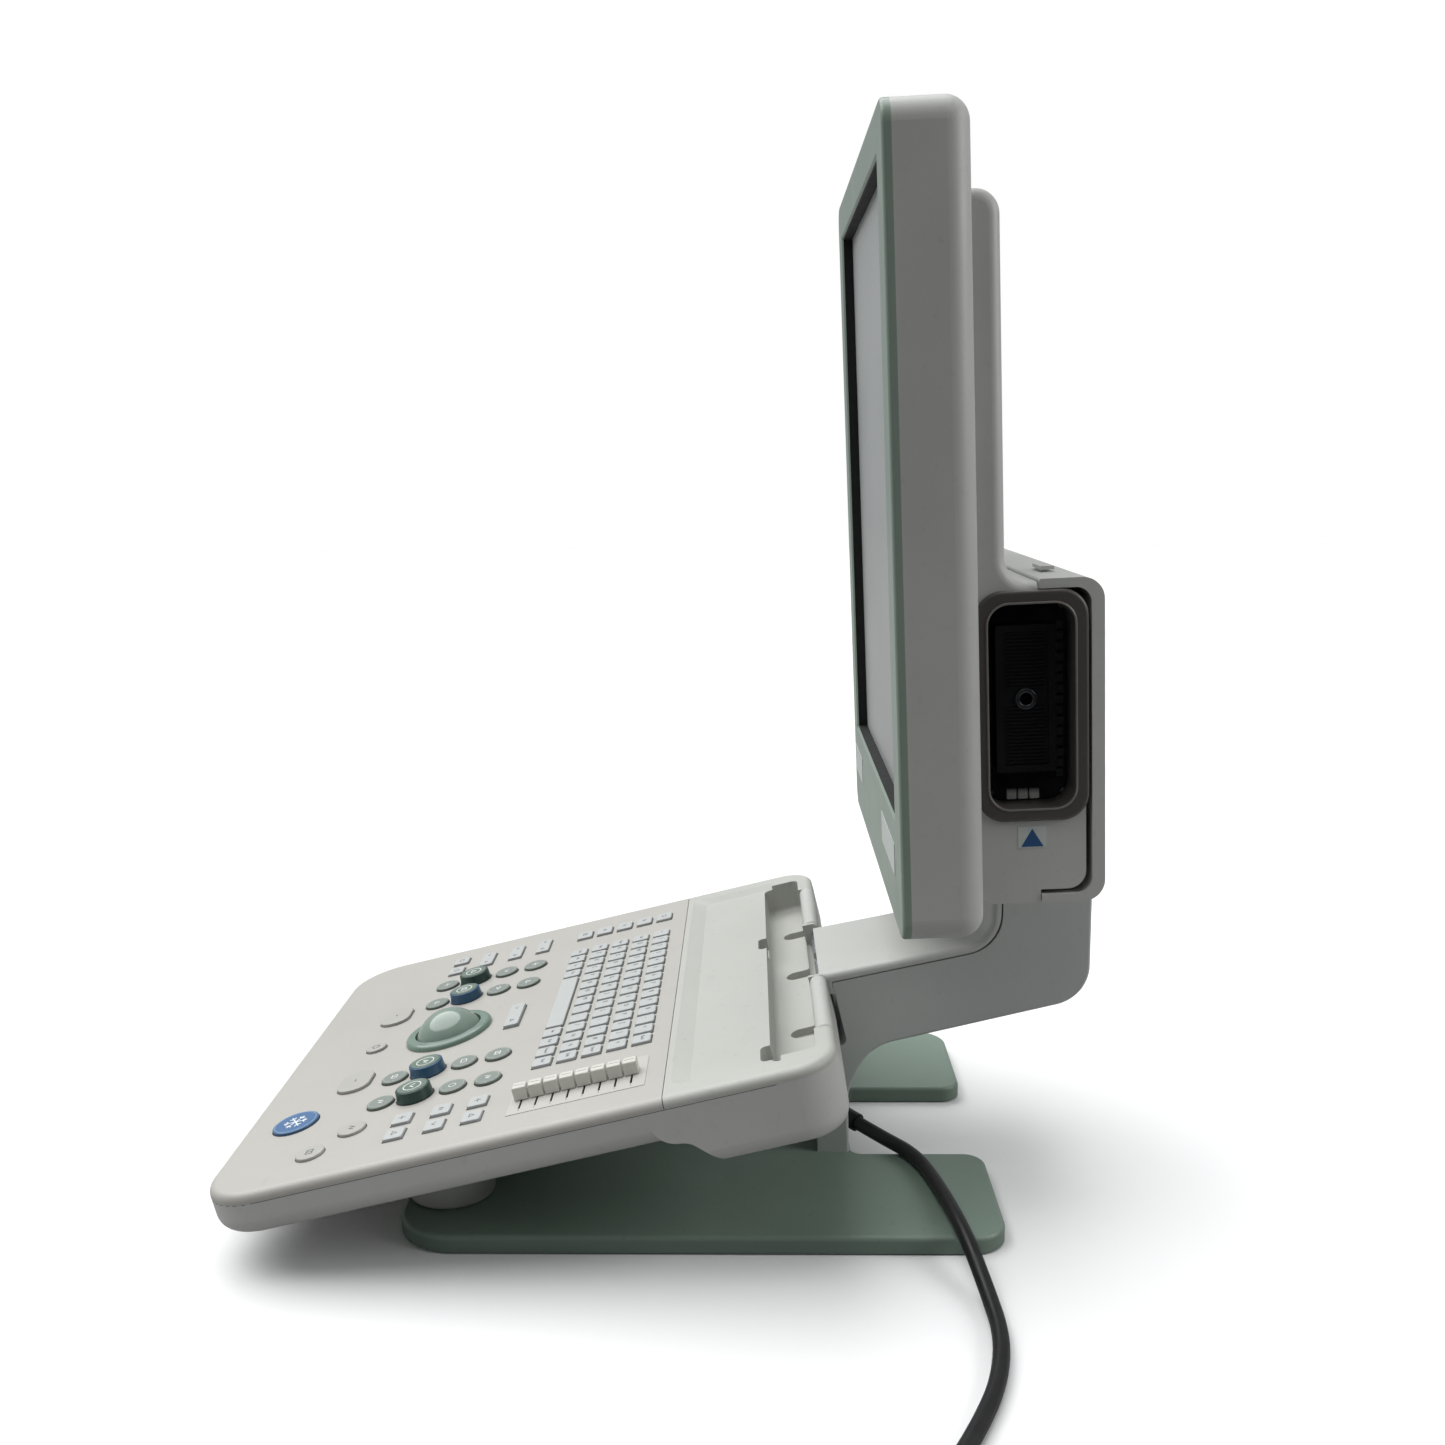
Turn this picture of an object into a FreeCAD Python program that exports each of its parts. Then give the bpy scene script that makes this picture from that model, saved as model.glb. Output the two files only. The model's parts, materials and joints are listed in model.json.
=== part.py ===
import FreeCAD, Part
import math
import os

V = FreeCAD.Vector

# Tabletop ultrasound machine. Millimetres, +Z up. +Y points to the machine's rear and +X to the
# side that carries the probe socket. The origin is at floor level, in the middle of the machine.

# ---- driving dimensions: base and neck ----
BASE_HALF = 162.4            # half width of the foot plate
BASE_FRONT, BASE_REAR = -174.0, 210.5
PAD_LIFT = 1.0               # gap between the table and the plate
BASE_TOP = 12.0
SLOT_HALF = 52.0             # gap between the two rear feet
SLOT_FRONT = 120.0
NECK_HALF = 51.0             # half width of the neck and arm
NECK_TOP = 216.0
WALL = 3.0                   # plastic shells

# ---- driving dimensions: keyboard, in its own frame: X across, s up its slope, n off its face ----
KEY_SLOPE = 13.63            # degrees
KEY_ORIGIN = V(0, -264.9, 47.85)
KEY_HALF = 196.8
KEY_FRONT, KEY_REAR = -17.0, 378.0
KEY_SPLIT, SPLIT_GAP = 273.0, 0.5     # seam between the key panel and the tray cover
KEY_TOP = 6.5                # face height above the parting line
KEY_SHALLOW, KEY_DEEP = -22.0, -42.0
DECK_N = 3.2                 # height of the tray's deck
TROUGH_LOW = -18.0           # floor of the trough along the tray's rear
NOTCH_LOW = -23.0            # floor of the slots sunk in it
NOTCH_HALF = 7.2             # half width of the slots in the trough's floor
HINGE_S, HINGE_N = 374.0, -3.0
HINGE_R = 7.5                # nose of the arm, round the fold axis
PIN_R = 3.0
RUNNING = 0.05               # radial clearance of a pin that turns in its bore
KEY_GAP = 0.5                # gap round every key and button

# ---- driving dimensions: monitor, in its own frame: X across, u to the rear, w up the screen ----
MON_LEAN = 2.335             # degrees forward
MON_ORIGIN = V(0, 139.5, 211.3)
MON_HALF, MON_LOW, MON_TOP = 180.25, -5.5, 461.5
MON_CORNER = 15.0            # corner radius of the monitor's front outline
BEZEL_T = 5.5
SHELL_REAR = 48.5
SCREEN_W, SCREEN_H = 300.8, 376.0
SCREEN_LOW = 61.2
SCREEN_BEVEL = 1.2           # bevel round the screen's opening
PLATE_W, PLATE_H_HALF = 35.5, 10.0    # height of the two plates under the screen
BOX_HALF = 150.0
PLATE_REAR, PLATE_TOP = 67.5, 417.0
BOX_REAR, BOX_LOW, BOX_TOP = 112.5, 8.0, 201.0
COVER_STEP = 1.9             # the rear cover stands this much above the housing
COVER_IN, COVER_OUT = 116.0, 123.5
COVER_FRONT = 86.0
TILT_Y, TILT_Z = 235.0, 238.0
TILT_PIN_R = 5.0

# ---- driving dimensions: controls ----
SLOT_W = 1.4                          # width of each slider's slot
BALL_R, BALL_S, BALL_N = 25.4, 102.5, -1.5
BALL_LOW = -28.5             # floor of the boss under the ball
RING_R, RING_HOLE, RING_TOP = 31.6, 24.2, 10.5
KNOB_R, KNOB_TOP, KNOB_S = 12.1, 14.0, 102.0
BUTTON_R = 9.1
COL_IN, COL_OUT = 67.4, 105.8         # columns of round controls, both sides of the ball
BUTTON_ROWS = (78.6, 127.6, 151.4)
KEY_PITCH, ROW_PITCH = 16.2, 16.8
KEY_SIZE = 12.8
ROW_FIRST = 187.0
FIELD_X = -111.0                      # centre of the first letter key in a row
SLIDE_PITCH, SLIDE_FIRST = 10.07, 181.5
SLIDE_X = 148.0
PADDLE_X, PADDLE_S = (-58.4, 58.4), 48.5
PADDLE_W, PADDLE_L, PADDLE_R = 32.0, 23.0, 10.5

# ---- driving dimensions: power cord ----
CORD_D = 9.6
CORD_HOLE = V(13.4, 118.8, 20.6)     # where the lead's gland passes the neck's rear wall
CORD_ROUTE = [(22.2, 126.5, 19.6), (40, 142, 17.6), (66, 163, 17.2), (104, 172.5, 17.2),
              (172, 181, 21), (214, 189, 5.2), (254, 190, 4.9), (294, 181, 4.9),
              (331, 164, 4.9), (366, 144, 4.9), (398, 121, 4.9)]
COIL_C = V(437.6, 175.5, 0)
COIL_MID_R = 53.0            # six turns, four tracks across and two high


# ---- shape helpers ----
def block(x0, x1, y0, y1, z0, z1):
    return Part.makeBox(x1 - x0, y1 - y0, z1 - z0, V(x0, y0, z0))


def rod(centre, axis, r, length):
    """Cylinder from centre, along axis."""
    return Part.makeCylinder(r, length, centre, axis)


def rod_x(x0, x1, y, z, r):
    return rod(V(x0, y, z), V(1, 0, 0), r, x1 - x0)


def upright(x, y, r, z0, z1):
    return rod(V(x, y, z0), V(0, 0, 1), r, z1 - z0)


def rounded_wire(corners, place):
    """Closed wire through (a, b, radius) corners; place turns a flat point into a 3-D one."""
    edges = []
    ends = []
    count = len(corners)
    for i in range(count):
        a, b, r = corners[i]
        p = V(a, b, 0)
        back = (V(corners[i - 1][0], corners[i - 1][1], 0) - p).normalize()
        ahead = (V(corners[(i + 1) % count][0], corners[(i + 1) % count][1], 0) - p).normalize()
        if r <= 0:
            ends.append((p, p, None))
            continue
        half = back.getAngle(ahead) / 2
        reach = r / math.tan(half)
        centre = p + (back + ahead).normalize() * (r / math.sin(half))
        middle = centre + (p - centre).normalize() * r
        ends.append((p + back * reach, p + ahead * reach, middle))
    for i in range(count):
        start, stop, middle = ends[i]
        if middle is not None:
            edges.append(Part.Arc(place(start), place(middle), place(stop)).toShape())
        following = ends[(i + 1) % count][0]
        if (following - stop).Length > 1e-6:
            edges.append(Part.makeLine(place(stop), place(following)))
    return Part.Wire(edges)


def side_solid(corners, x0, x1):
    """Side outline (y, z, radius) carried along X."""
    wire = rounded_wire(corners, lambda p: V(x0, p.x, p.y))
    return Part.Face(wire).extrude(V(x1 - x0, 0, 0))


def plan_solid(corners, z0, z1):
    """Plan outline (x, y, radius) carried along Z."""
    wire = rounded_wire(corners, lambda p: V(p.x, p.y, z0))
    return Part.Face(wire).extrude(V(0, 0, z1 - z0))


def front_solid(corners, y0, y1):
    """Front outline (x, z, radius) carried along Y."""
    wire = rounded_wire(corners, lambda p: V(p.x, y0, p.y))
    return Part.Face(wire).extrude(V(0, y1 - y0, 0))


def rectangle(a0, a1, b0, b1, r, r_far=None):
    r_far = r if r_far is None else r_far
    return [(a0, b0, r), (a1, b0, r), (a1, b1, r_far), (a0, b1, r_far)]


def soften(shape, r, keep):
    """Round the edges whose two ends and middle all pass the test keep(point)."""
    chosen = []
    for edge in shape.Edges:
        low, high = edge.ParameterRange
        marks = [edge.valueAt(low), edge.valueAt((low + high) / 2), edge.valueAt(high)]
        if all(keep(p) for p in marks):
            chosen.append(edge)
    return shape.makeFillet(r, chosen)


def group(shapes):
    return Part.makeCompound(shapes)


def both_sides(shape):
    return [shape, shape.mirror(V(0, 0, 0), V(1, 0, 0))]


def fuse(shapes):
    return shapes[0].multiFuse(shapes[1:]).removeSplitter()


def on_keyboard(shape):
    """Move a shape from the keyboard's frame to the machine's frame."""
    moved = shape.copy()
    moved.rotate(V(0, 0, 0), V(1, 0, 0), KEY_SLOPE)
    moved.translate(KEY_ORIGIN)
    return moved


def on_monitor(shape):
    """Move a shape from the monitor's frame to the machine's frame."""
    moved = shape.copy()
    moved.rotate(V(0, 0, 0), V(1, 0, 0), MON_LEAN)
    moved.translate(MON_ORIGIN)
    return moved


def key_point(s, n):
    """Machine-frame (y, z) of a point on the keyboard's centre plane."""
    a = math.radians(KEY_SLOPE)
    y = KEY_ORIGIN.y + s * math.cos(a) - n * math.sin(a)
    z = KEY_ORIGIN.z + s * math.sin(a) + n * math.cos(a)
    return y, z


# ---- stand: foot plate, neck, arm ----
def base_plate():
    outline = [(-BASE_HALF, BASE_FRONT, 38), (BASE_HALF, BASE_FRONT, 38),
               (BASE_HALF, BASE_REAR, 22), (SLOT_HALF, BASE_REAR, 14),
               (SLOT_HALF, SLOT_FRONT, 8), (-SLOT_HALF, SLOT_FRONT, 8),
               (-SLOT_HALF, BASE_REAR, 14), (-BASE_HALF, BASE_REAR, 22)]
    plate = plan_solid(outline, PAD_LIFT, BASE_TOP)
    plate = soften(plate, 3.0, lambda p: p.z > BASE_TOP - 0.01)
    for x, y in pad_places():
        plate = plate.cut(upright(x, y, 11.2, 0, PAD_LIFT + 1.0))
    for x in (-36, 36):
        plate = plate.cut(upright(x, 107, 3.1, 0, BASE_TOP + 1))
        plate = plate.cut(upright(x, 107, 5.6, 0, 5.0))
    return plate


def pad_places():
    return [(x, y) for x in (-132, 132) for y in (BASE_FRONT + 40, 0, BASE_REAR - 28)]


def base_pads():
    return group([upright(x, y, 11.0, 0, PAD_LIFT + 1.0) for x, y in pad_places()])


def arm_outline():
    """Side outline of the neck and arm below the top cover's seam."""
    seam_front = key_point(381.5, -3)
    seam_rear = key_point(484, -3)
    low_front = key_point(381.5, -47)
    return [(118.8, BASE_TOP, 0), (117.6, 55, 30), (131, 88.3, 34), (280.2, 124.2, 28),
            (279.5, NECK_TOP, 0), (220.5, NECK_TOP, 0),
            (220.5, seam_rear[1] + 0.5, 28), (seam_front[0], seam_front[1], 0),
            (low_front[0], low_front[1], 4), (97, 82, 6), (97, BASE_TOP, 0)]


def under_arm(p):
    """True on the side edges under and behind the arm."""
    low_or_rear = p.z < 110 or p.y > 240
    return abs(p.x) > NECK_HALF - 0.01 and p.y > 119 and p.z < NECK_TOP - 1 and low_or_rear


def arm_shell():
    outer = side_solid(arm_outline(), -NECK_HALF, NECK_HALF)
    outer = soften(outer, 2.0, under_arm)
    wire = rounded_wire(arm_outline(), lambda p: V(-NECK_HALF + WALL, p.x, p.y))
    inner = Part.Face(wire).makeOffset2D(-WALL).extrude(V(2 * (NECK_HALF - WALL), 0, 0))
    hollow = outer.cut(inner)
    half = NECK_HALF - WALL
    hollow = hollow.cut(block(-half, half, 97 + WALL, 118.8 - WALL, BASE_TOP - 1, 40))
    return hollow.cut(rod(CORD_HOLE - V(0, 10, 0), V(0, 1, 0), 7.0, 20))


def cover_outline(seam):
    """Side outline of the arm's cover, standing the width of the seam off the arm shell."""
    low = HINGE_N - HINGE_R
    top_rear = key_point(478, HINGE_N + HINGE_R)
    seam_rear = key_point(484, -3)
    rear = 220.3 - seam
    return [key_point(HINGE_S, HINGE_N + HINGE_R) + (0,), (213, top_rear[1] - 1, 21),
            (213, NECK_TOP, 0), (rear, NECK_TOP, 0), (rear, seam_rear[1] + 0.5 + seam, 28),
            key_point(381.2, -3 + seam) + (0,), key_point(381.2, low) + (0,),
            key_point(HINGE_S, low) + (0,)]


def arm_top_cover():
    """Light cover on the arm; its front end is the round nose of the keyboard hinge."""
    nose_y, nose_z = key_point(HINGE_S, HINGE_N)
    core = side_solid(cover_outline(0.1), -NECK_HALF + 4.5, NECK_HALF - 4.5)
    slab = side_solid(cover_outline(0.9), -NECK_HALF, NECK_HALF)
    slab = soften(slab, 4.0, lambda p: abs(p.x) > NECK_HALF - 0.01 and p.y < 213.01 and on_top(p))
    slab = slab.fuse(core)
    nose = rod_x(-NECK_HALF, NECK_HALF, nose_y, nose_z, HINGE_R)
    nose = soften(nose, 3.9, lambda p: abs(p.x) > NECK_HALF - 0.01)
    return slab.fuse(nose).cut(rod_x(-NECK_HALF - 1, NECK_HALF + 1, nose_y, nose_z, PIN_R))


def on_top(p):
    """True above the arm's top line."""
    a = math.radians(KEY_SLOPE)
    n = (p.z - KEY_ORIGIN.z) * math.cos(a) - (p.y - KEY_ORIGIN.y) * math.sin(a)
    return n > HINGE_N + HINGE_R - 0.1


def neck_frame():
    """Aluminium spine inside the plastic: two webs, a foot flange and a head plate."""
    wire = rounded_wire(arm_outline(), lambda p: V(30, p.x, p.y))
    web = Part.Face(wire).makeOffset2D(-WALL - 1).extrude(V(4, 0, 0))
    foot = block(-44, 44, 101.5, 115, BASE_TOP, BASE_TOP + 8)
    head = block(-34, 34, 226, 274, NECK_TOP - WALL - 5, NECK_TOP - WALL)
    return fuse(both_sides(web) + [foot, head])


def hinge_pins():
    y, z = key_point(HINGE_S, HINGE_N)
    return group(both_sides(rod_x(8, 96, y, z, PIN_R)))


def stand_screws():
    screws = []
    for x in (-36, 36):
        head = upright(x, 107, 5.4, 1.8, 5.0)
        shank = upright(x, 107, 3.0, 5.0, BASE_TOP)
        screws.append(head.fuse(shank).cut(upright(x, 107, 2.0, 1.0, 3.6)))
    return group(screws)


def tilt_bracket():
    base = block(-30, 30, TILT_Y - 15, TILT_Y + 21, NECK_TOP, NECK_TOP + 3)
    shapes = [base]
    for x in (-24, 18):
        ear = block(x, x + 6, TILT_Y - 8, TILT_Y + 8, NECK_TOP + 3, TILT_Z)
        shapes += [ear, rod_x(x, x + 6, TILT_Y, TILT_Z, 8)]
    bracket = fuse(shapes)
    return bracket.cut(rod_x(-40, 40, TILT_Y, TILT_Z, TILT_PIN_R))


def tilt_pin():
    shaft = rod_x(-26, 26, TILT_Y, TILT_Z, TILT_PIN_R)
    return fuse([shaft, rod_x(-27.5, -26, TILT_Y, TILT_Z, 7), rod_x(26, 27.5, TILT_Y, TILT_Z, 7)])


# ---- power cord ----
def bend_radii(points):
    """Largest tidy bend at each corner: 0.45 of the shorter run over tan(half turn)."""
    radii = []
    for i in range(1, len(points) - 1):
        before = points[i] - points[i - 1]
        after = points[i + 1] - points[i]
        half = before.getAngle(after) / 2
        radii.append(0.45 * min(before.Length, after.Length) / math.tan(half))
    return radii


def cord_wire(points):
    edges = []
    last = points[0]
    for i, r in enumerate(bend_radii(points), 1):
        back = (points[i - 1] - points[i]).normalize()
        ahead = (points[i + 1] - points[i]).normalize()
        half_turn = (math.pi - back.getAngle(ahead)) / 2
        reach = r * math.tan(half_turn)
        start = points[i] + back * reach
        stop = points[i] + ahead * reach
        depth = r / math.cos(half_turn) - r
        middle = points[i] + (back + ahead).normalize() * depth
        edges.append(Part.makeLine(last, start))
        edges.append(Part.Arc(start, middle, stop).toShape())
        last = stop
    edges.append(Part.makeLine(last, points[-1]))
    return Part.Wire(edges)


def cord_tube():
    points = [V(*p) for p in CORD_ROUTE]
    wire = cord_wire(points)
    direction = points[1] - points[0]
    section = Part.Wire(Part.makeCircle(CORD_D / 2, points[0], direction))
    tube = wire.makePipeShell([section], True, True, 1)
    radii = [round(r) for r in bend_radii(points)]
    print("cord radii", radii)
    print("cord volume ratio", tube.Volume / (wire.Length * math.pi * CORD_D ** 2 / 4), wire.Length)
    return tube


def cord_coil():
    """The coiled rest of the lead, as one ring two turns high and four tracks across."""
    width, height = 4 * CORD_D, 2 * CORD_D
    outer = rod(COIL_C + V(0, 0, 0.1), V(0, 0, 1), COIL_MID_R + width / 2, height)
    hole = rod(COIL_C, V(0, 0, 1), COIL_MID_R - width / 2, height + 1)
    return soften(outer.cut(hole), CORD_D / 2 - 0.2, lambda p: True)


def cord_gland():
    """Sloping sleeve on the neck's rear wall, with its stub through the wall."""
    start = V(*CORD_ROUTE[0])
    along = (V(*CORD_ROUTE[1]) - start).normalize()
    sleeve = rod(start - along * 30, along, 6.4, 30)
    sleeve = sleeve.cut(block(-60, 60, 60, CORD_HOLE.y - 0.05, 0, 60))
    stub = rod(CORD_HOLE - V(0, WALL, 0), V(0, 1, 0), 6.9, WALL + 0.6)
    return sleeve.fuse(stub)


def plug_start():
    """Where the plug's sleeve leaves the coil's outer turns, lying along +Y."""
    return COIL_C + V(60, 38, 11.3)


def plug_body():
    p = plug_start()
    shell = block(p.x - 13, p.x + 13, p.y + 22, p.y + 68, 0.3, 22.3)
    shell = soften(shell, 6.0, lambda q: True)
    return shell.fuse(rod(p, V(0, 1, 0), 6.5, 30))


def plug_pins():
    p = plug_start()
    flats = [block(p.x + x - 3.2, p.x + x + 3.2, p.y + 68, p.y + 85, 13, 14.6) for x in (-6.4, 6.4)]
    earth = rod(V(p.x, p.y + 68, 6.5), V(0, 1, 0), 2.4, 19)
    return group(flats + [earth])


# ---- monitor ----
def monitor_outline(inset):
    return rectangle(-MON_HALF + inset, MON_HALF - inset, MON_LOW + inset, MON_TOP - inset, MON_CORNER - inset)


def screen_outline(grow, r):
    half = SCREEN_W / 2 + grow
    return rectangle(-half, half, SCREEN_LOW - grow, SCREEN_LOW + SCREEN_H + grow, r)


def front_bezel():
    plate = front_solid(monitor_outline(0), 0, BEZEL_T)
    plate = soften(plate, 2.4, lambda p: p.y < 0.01)
    plate = plate.cut(front_solid(screen_outline(-SCREEN_BEVEL, 1.0), -1, BEZEL_T + 1))
    opening = [e for e in plate.Edges if e.BoundBox.YMax < 0.01 and at_screen(e.CenterOfMass)]
    plate = plate.makeChamfer(SCREEN_BEVEL, opening)
    for x, half in plate_places():
        plate = plate.cut(plate_block(x, half + 0.2, PLATE_H_HALF + 0.2, -1))
    return plate


def at_screen(p):
    """True on the rim of the screen's opening."""
    return abs(p.x) < SCREEN_W / 2 + 1 and SCREEN_LOW - 1 < p.z < SCREEN_LOW + SCREEN_H + 1


def plate_places():
    """(x, half width) of the two plates under the screen."""
    return [(100, 42), (-139, 33)]


def plate_block(x, half, half_height, front):
    return block(x - half, x + half, front, 0.8, PLATE_W - half_height, PLATE_W + half_height)


def trim_plates():
    on_bezel = [plate_block(x, half, PLATE_H_HALF, -0.3) for x, half in plate_places()]
    on_side = block(BOX_HALF, BOX_HALF + 0.3, 72.5, 89, 42, 55)
    return group(on_bezel + [on_side])


def screen_gasket():
    """Black seal: a flange behind the bezel and a lip that lines its opening."""
    flange = front_solid(screen_outline(4, 2), BEZEL_T, BEZEL_T + 2.5)
    lip = front_solid(screen_outline(-SCREEN_BEVEL - 0.1, 0.9), SCREEN_BEVEL + 0.2, BEZEL_T + 2.5)
    return flange.fuse(lip).cut(front_solid(screen_outline(-SCREEN_BEVEL - 1.4, 0.5), 0, BEZEL_T + 4))


def lcd_panel():
    return front_solid(screen_outline(6, 2), BEZEL_T + 2.5, BEZEL_T + 14)


def rear_shell():
    body = front_solid(monitor_outline(0), BEZEL_T, SHELL_REAR)
    body = soften(body, MON_CORNER - 1, lambda p: p.y > SHELL_REAR - 0.01)
    inner = front_solid(monitor_outline(WALL), BEZEL_T - 1, SHELL_REAR - WALL)
    inner = soften(inner, MON_CORNER - 1 - WALL, lambda p: p.y > SHELL_REAR - WALL - 0.01)
    shell = body.cut(inner)
    return shell.cut(block(-100, 100, SHELL_REAR - WALL - 1, SHELL_REAR + 1, 60, 180))


def rear_housing():
    side = [(SHELL_REAR, BOX_LOW + 3, 0), (SHELL_REAR + 8, BOX_LOW, 4), (COVER_FRONT - 0.4, BOX_LOW, 0),
            (COVER_FRONT - 0.4, BOX_LOW + 8, 0), (BOX_REAR, BOX_LOW + 8, 11), (BOX_REAR, BOX_TOP - 8, 11),
            (COVER_FRONT - 0.4, BOX_TOP - 8, 0), (COVER_FRONT - 0.4, BOX_TOP - COVER_STEP, 0),
            (PLATE_REAR, BOX_TOP - COVER_STEP, 15), (PLATE_REAR, PLATE_TOP, 14), (SHELL_REAR, PLATE_TOP, 0)]
    body = side_solid(side, -BOX_HALF, BOX_HALF)
    body = soften(body, 7.0, on_back_plate)
    lower = block(-BOX_HALF + 4, BOX_HALF - 4, SHELL_REAR - 1, BOX_REAR - 4, BOX_LOW + 12, BOX_TOP - 12)
    upper = block(-BOX_HALF + 12, BOX_HALF - 12, SHELL_REAR - 1, PLATE_REAR - 4, BOX_TOP - 13, PLATE_TOP - 16)
    body = body.cut(fuse([lower, upper]))
    body = body.cut(socket_hole(BOX_HALF - 6, BOX_HALF + 1, 2.0))
    return body.cut(tilt_opening())


def on_back_plate(p):
    """True on the side edges of the tall back plate."""
    return abs(p.x) > BOX_HALF - 0.01 and p.y > PLATE_REAR - 0.01 and p.z > BOX_TOP + 12.9


def tilt_opening():
    """Slot in the box's floor for the tilt bracket, through its whole swing."""
    return block(-33, 33, 80.5, 111, BOX_LOW - 1, BOX_LOW + 13)


def socket_hole(x0, x1, grow):
    outline = [(56 - grow, 66.5 - grow, 12), (106 + grow, 66.5 - grow, 12),
               (106 + grow, 187 + grow, 12), (56 - grow, 187 + grow, 12)]
    return side_solid(outline, x0, x1)


def socket_bezel():
    outline = [(49.0, 58.5, 16), (114.2, 58.5, 16), (114.2, 195, 16), (49.0, 195, 16)]
    rim = side_solid(outline, BOX_HALF, BOX_HALF + 3.0)
    rim = soften(rim, 2.2, lambda p: p.x > BOX_HALF + 2.99)
    sleeve = socket_hole(BOX_HALF - 20, BOX_HALF + 1, 1.6)
    return rim.fuse(sleeve).cut(socket_hole(BOX_HALF - 21, BOX_HALF + 4, 0)).removeSplitter()


def socket_board():
    board = side_solid([(50.5, 61, 3), (107.9, 61, 3), (107.9, 188, 3), (50.5, 188, 3)], 126, 128)
    posts = [rod_x(119, 126, u, w, 2.5) for u in (54, 103) for w in (66, 183)]
    return fuse([board] + posts)


def probe_connector():
    block_solid = side_solid([(61.8, 86.5, 1.5), (97.2, 86.5, 1.5), (97.2, 174, 1.5), (61.8, 174, 1.5)], 128, 143)
    field = block(141.8, 144, 66.5, 92.5, 90.5, 170)
    block_solid = block_solid.cut(field).fuse(rod_x(128, 142.6, 79.5, 130.2, 6.5))
    return block_solid.cut(rod_x(127, 144, 79.5, 130.2, 3.6))


def socket_parts():
    chips = [block(128, 131.4, u, u + 5.6, 67.5, 73.5) for u in (69.5, 76.3, 83.1)]
    row = [block(128, 130 + (i % 3) * 0.7, 99.2, 103.6, 80 + i * 6.4, 84.6 + i * 6.4) for i in range(15)]
    return group(chips + row)


def rear_cover():
    outer = [(COVER_FRONT, BOX_LOW, 1.5), (COVER_OUT, BOX_LOW, 13), (COVER_OUT, BOX_TOP, 13),
             (COVER_FRONT, BOX_TOP, 1.5)]
    inner = [(COVER_FRONT - 1, BOX_LOW + 5.2, 0), (COVER_IN, BOX_LOW + 5.2, 9),
             (COVER_IN, BOX_TOP - 5.6, 9), (COVER_FRONT - 1, BOX_TOP - 5.6, 0)]
    cover = side_solid(outer, -BOX_HALF - 1, BOX_HALF + 1)
    cover = cover.cut(side_solid(inner, -BOX_HALF - 2, BOX_HALF + 2))
    ribs = [block(x - 1.5, x + 1.5, BOX_REAR, COVER_IN + 1, 60, 150) for x in (-110, 0, 110)]
    cover = fuse([cover] + ribs)
    for x in latch_places():
        cover = cover.cut(block(x - 14, x + 14, 95, 104, BOX_TOP - 6, BOX_TOP + 1))
    return cover.cut(tilt_opening())


def latch_places():
    return (-95, 95)


def cover_latches():
    latches = []
    for x in latch_places():
        plate = block(x - 13.6, x + 13.6, 95.4, 103.6, BOX_TOP - 5, BOX_TOP + 0.2)
        plate = plate.fuse(block(x - 10, x + 10, 96.5, 99, BOX_TOP, BOX_TOP + 1.6))
        grip = block(x - 13, x + 13, 95.5, 103.5, BOX_TOP + 1.5, BOX_TOP + 3.6)
        hook = block(x - 8, x + 8, 97, 100, BOX_TOP - 8, BOX_TOP - 5)
        latches.append(fuse([plate, grip, hook]))
    return group(latches)


def main_board():
    board = block(-120, 108, 54, 55.6, 30, 180)
    chips = [block(x, x + 34, 55.6, 58, w, w + 34) for x in (-100, -50, 0, 50) for w in (60, 120)]
    sinks = block(-96, -20, 58, 74, 64, 92)
    standoffs = [rod(V(x, SHELL_REAR, w), V(0, 1, 0), 3, 5.5) for x in (-112, 102) for w in (36, 52)]
    return fuse([board] + chips + [sinks] + standoffs)


def battery_pack():
    return soften(block(-140, -44, 78, 108, 24, 58), 3.0, lambda p: True)


def hinge_block():
    y = BOX_REAR - 4
    body = block(-16, 16, 85, y, 13.5, 36)
    plate = block(-40, 40, y - 3, y, 36, 56)
    solid = on_monitor(fuse([body, plate, block(-16, 16, y - 3, y, 35, 37)]))
    return solid.cut(rod_x(-17, 17, TILT_Y, TILT_Z, TILT_PIN_R + RUNNING))


def housing_screws():
    places = [(x, w) for x in (-128, 128) for w in (232, 392)] + [(0, 392)]
    screws = []
    for x, w in places:
        head = rod(V(x, PLATE_REAR, w), V(0, 1, 0), 3.6, 1.6)
        screws.append(head.cut(rod(V(x, PLATE_REAR + 0.6, w), V(0, 1, 0), 1.6, 2)))
    return group(screws)


# ---- keyboard ----
def key_outline(inset, r_front, r_rear, front=KEY_FRONT, rear=KEY_REAR):
    return rectangle(-KEY_HALF + inset, KEY_HALF - inset, front + inset, rear - inset, r_front, r_rear)


def arm_notch():
    """Room for the arm's nose and slab through the whole fold."""
    half = NECK_HALF + 1.5
    above = block(-half, half, HINGE_S - HINGE_R - 1.3, KEY_REAR + 20, HINGE_N, 40)
    round_nose = rod_x(-half, half, HINGE_S, HINGE_N, HINGE_R + 0.8)
    behind = block(-half, half, HINGE_S, KEY_REAR + 20, HINGE_N - HINGE_R - 4, HINGE_N)
    return fuse([above, round_nose, behind])


def rim_pocket(grow):
    """Room for the two hinge blocks, with a seam of the given width."""
    return group(both_sides(block(56 - grow, 143 + grow, 366.8 - grow, KEY_REAR + 5, -13 - grow, 30)))


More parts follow.
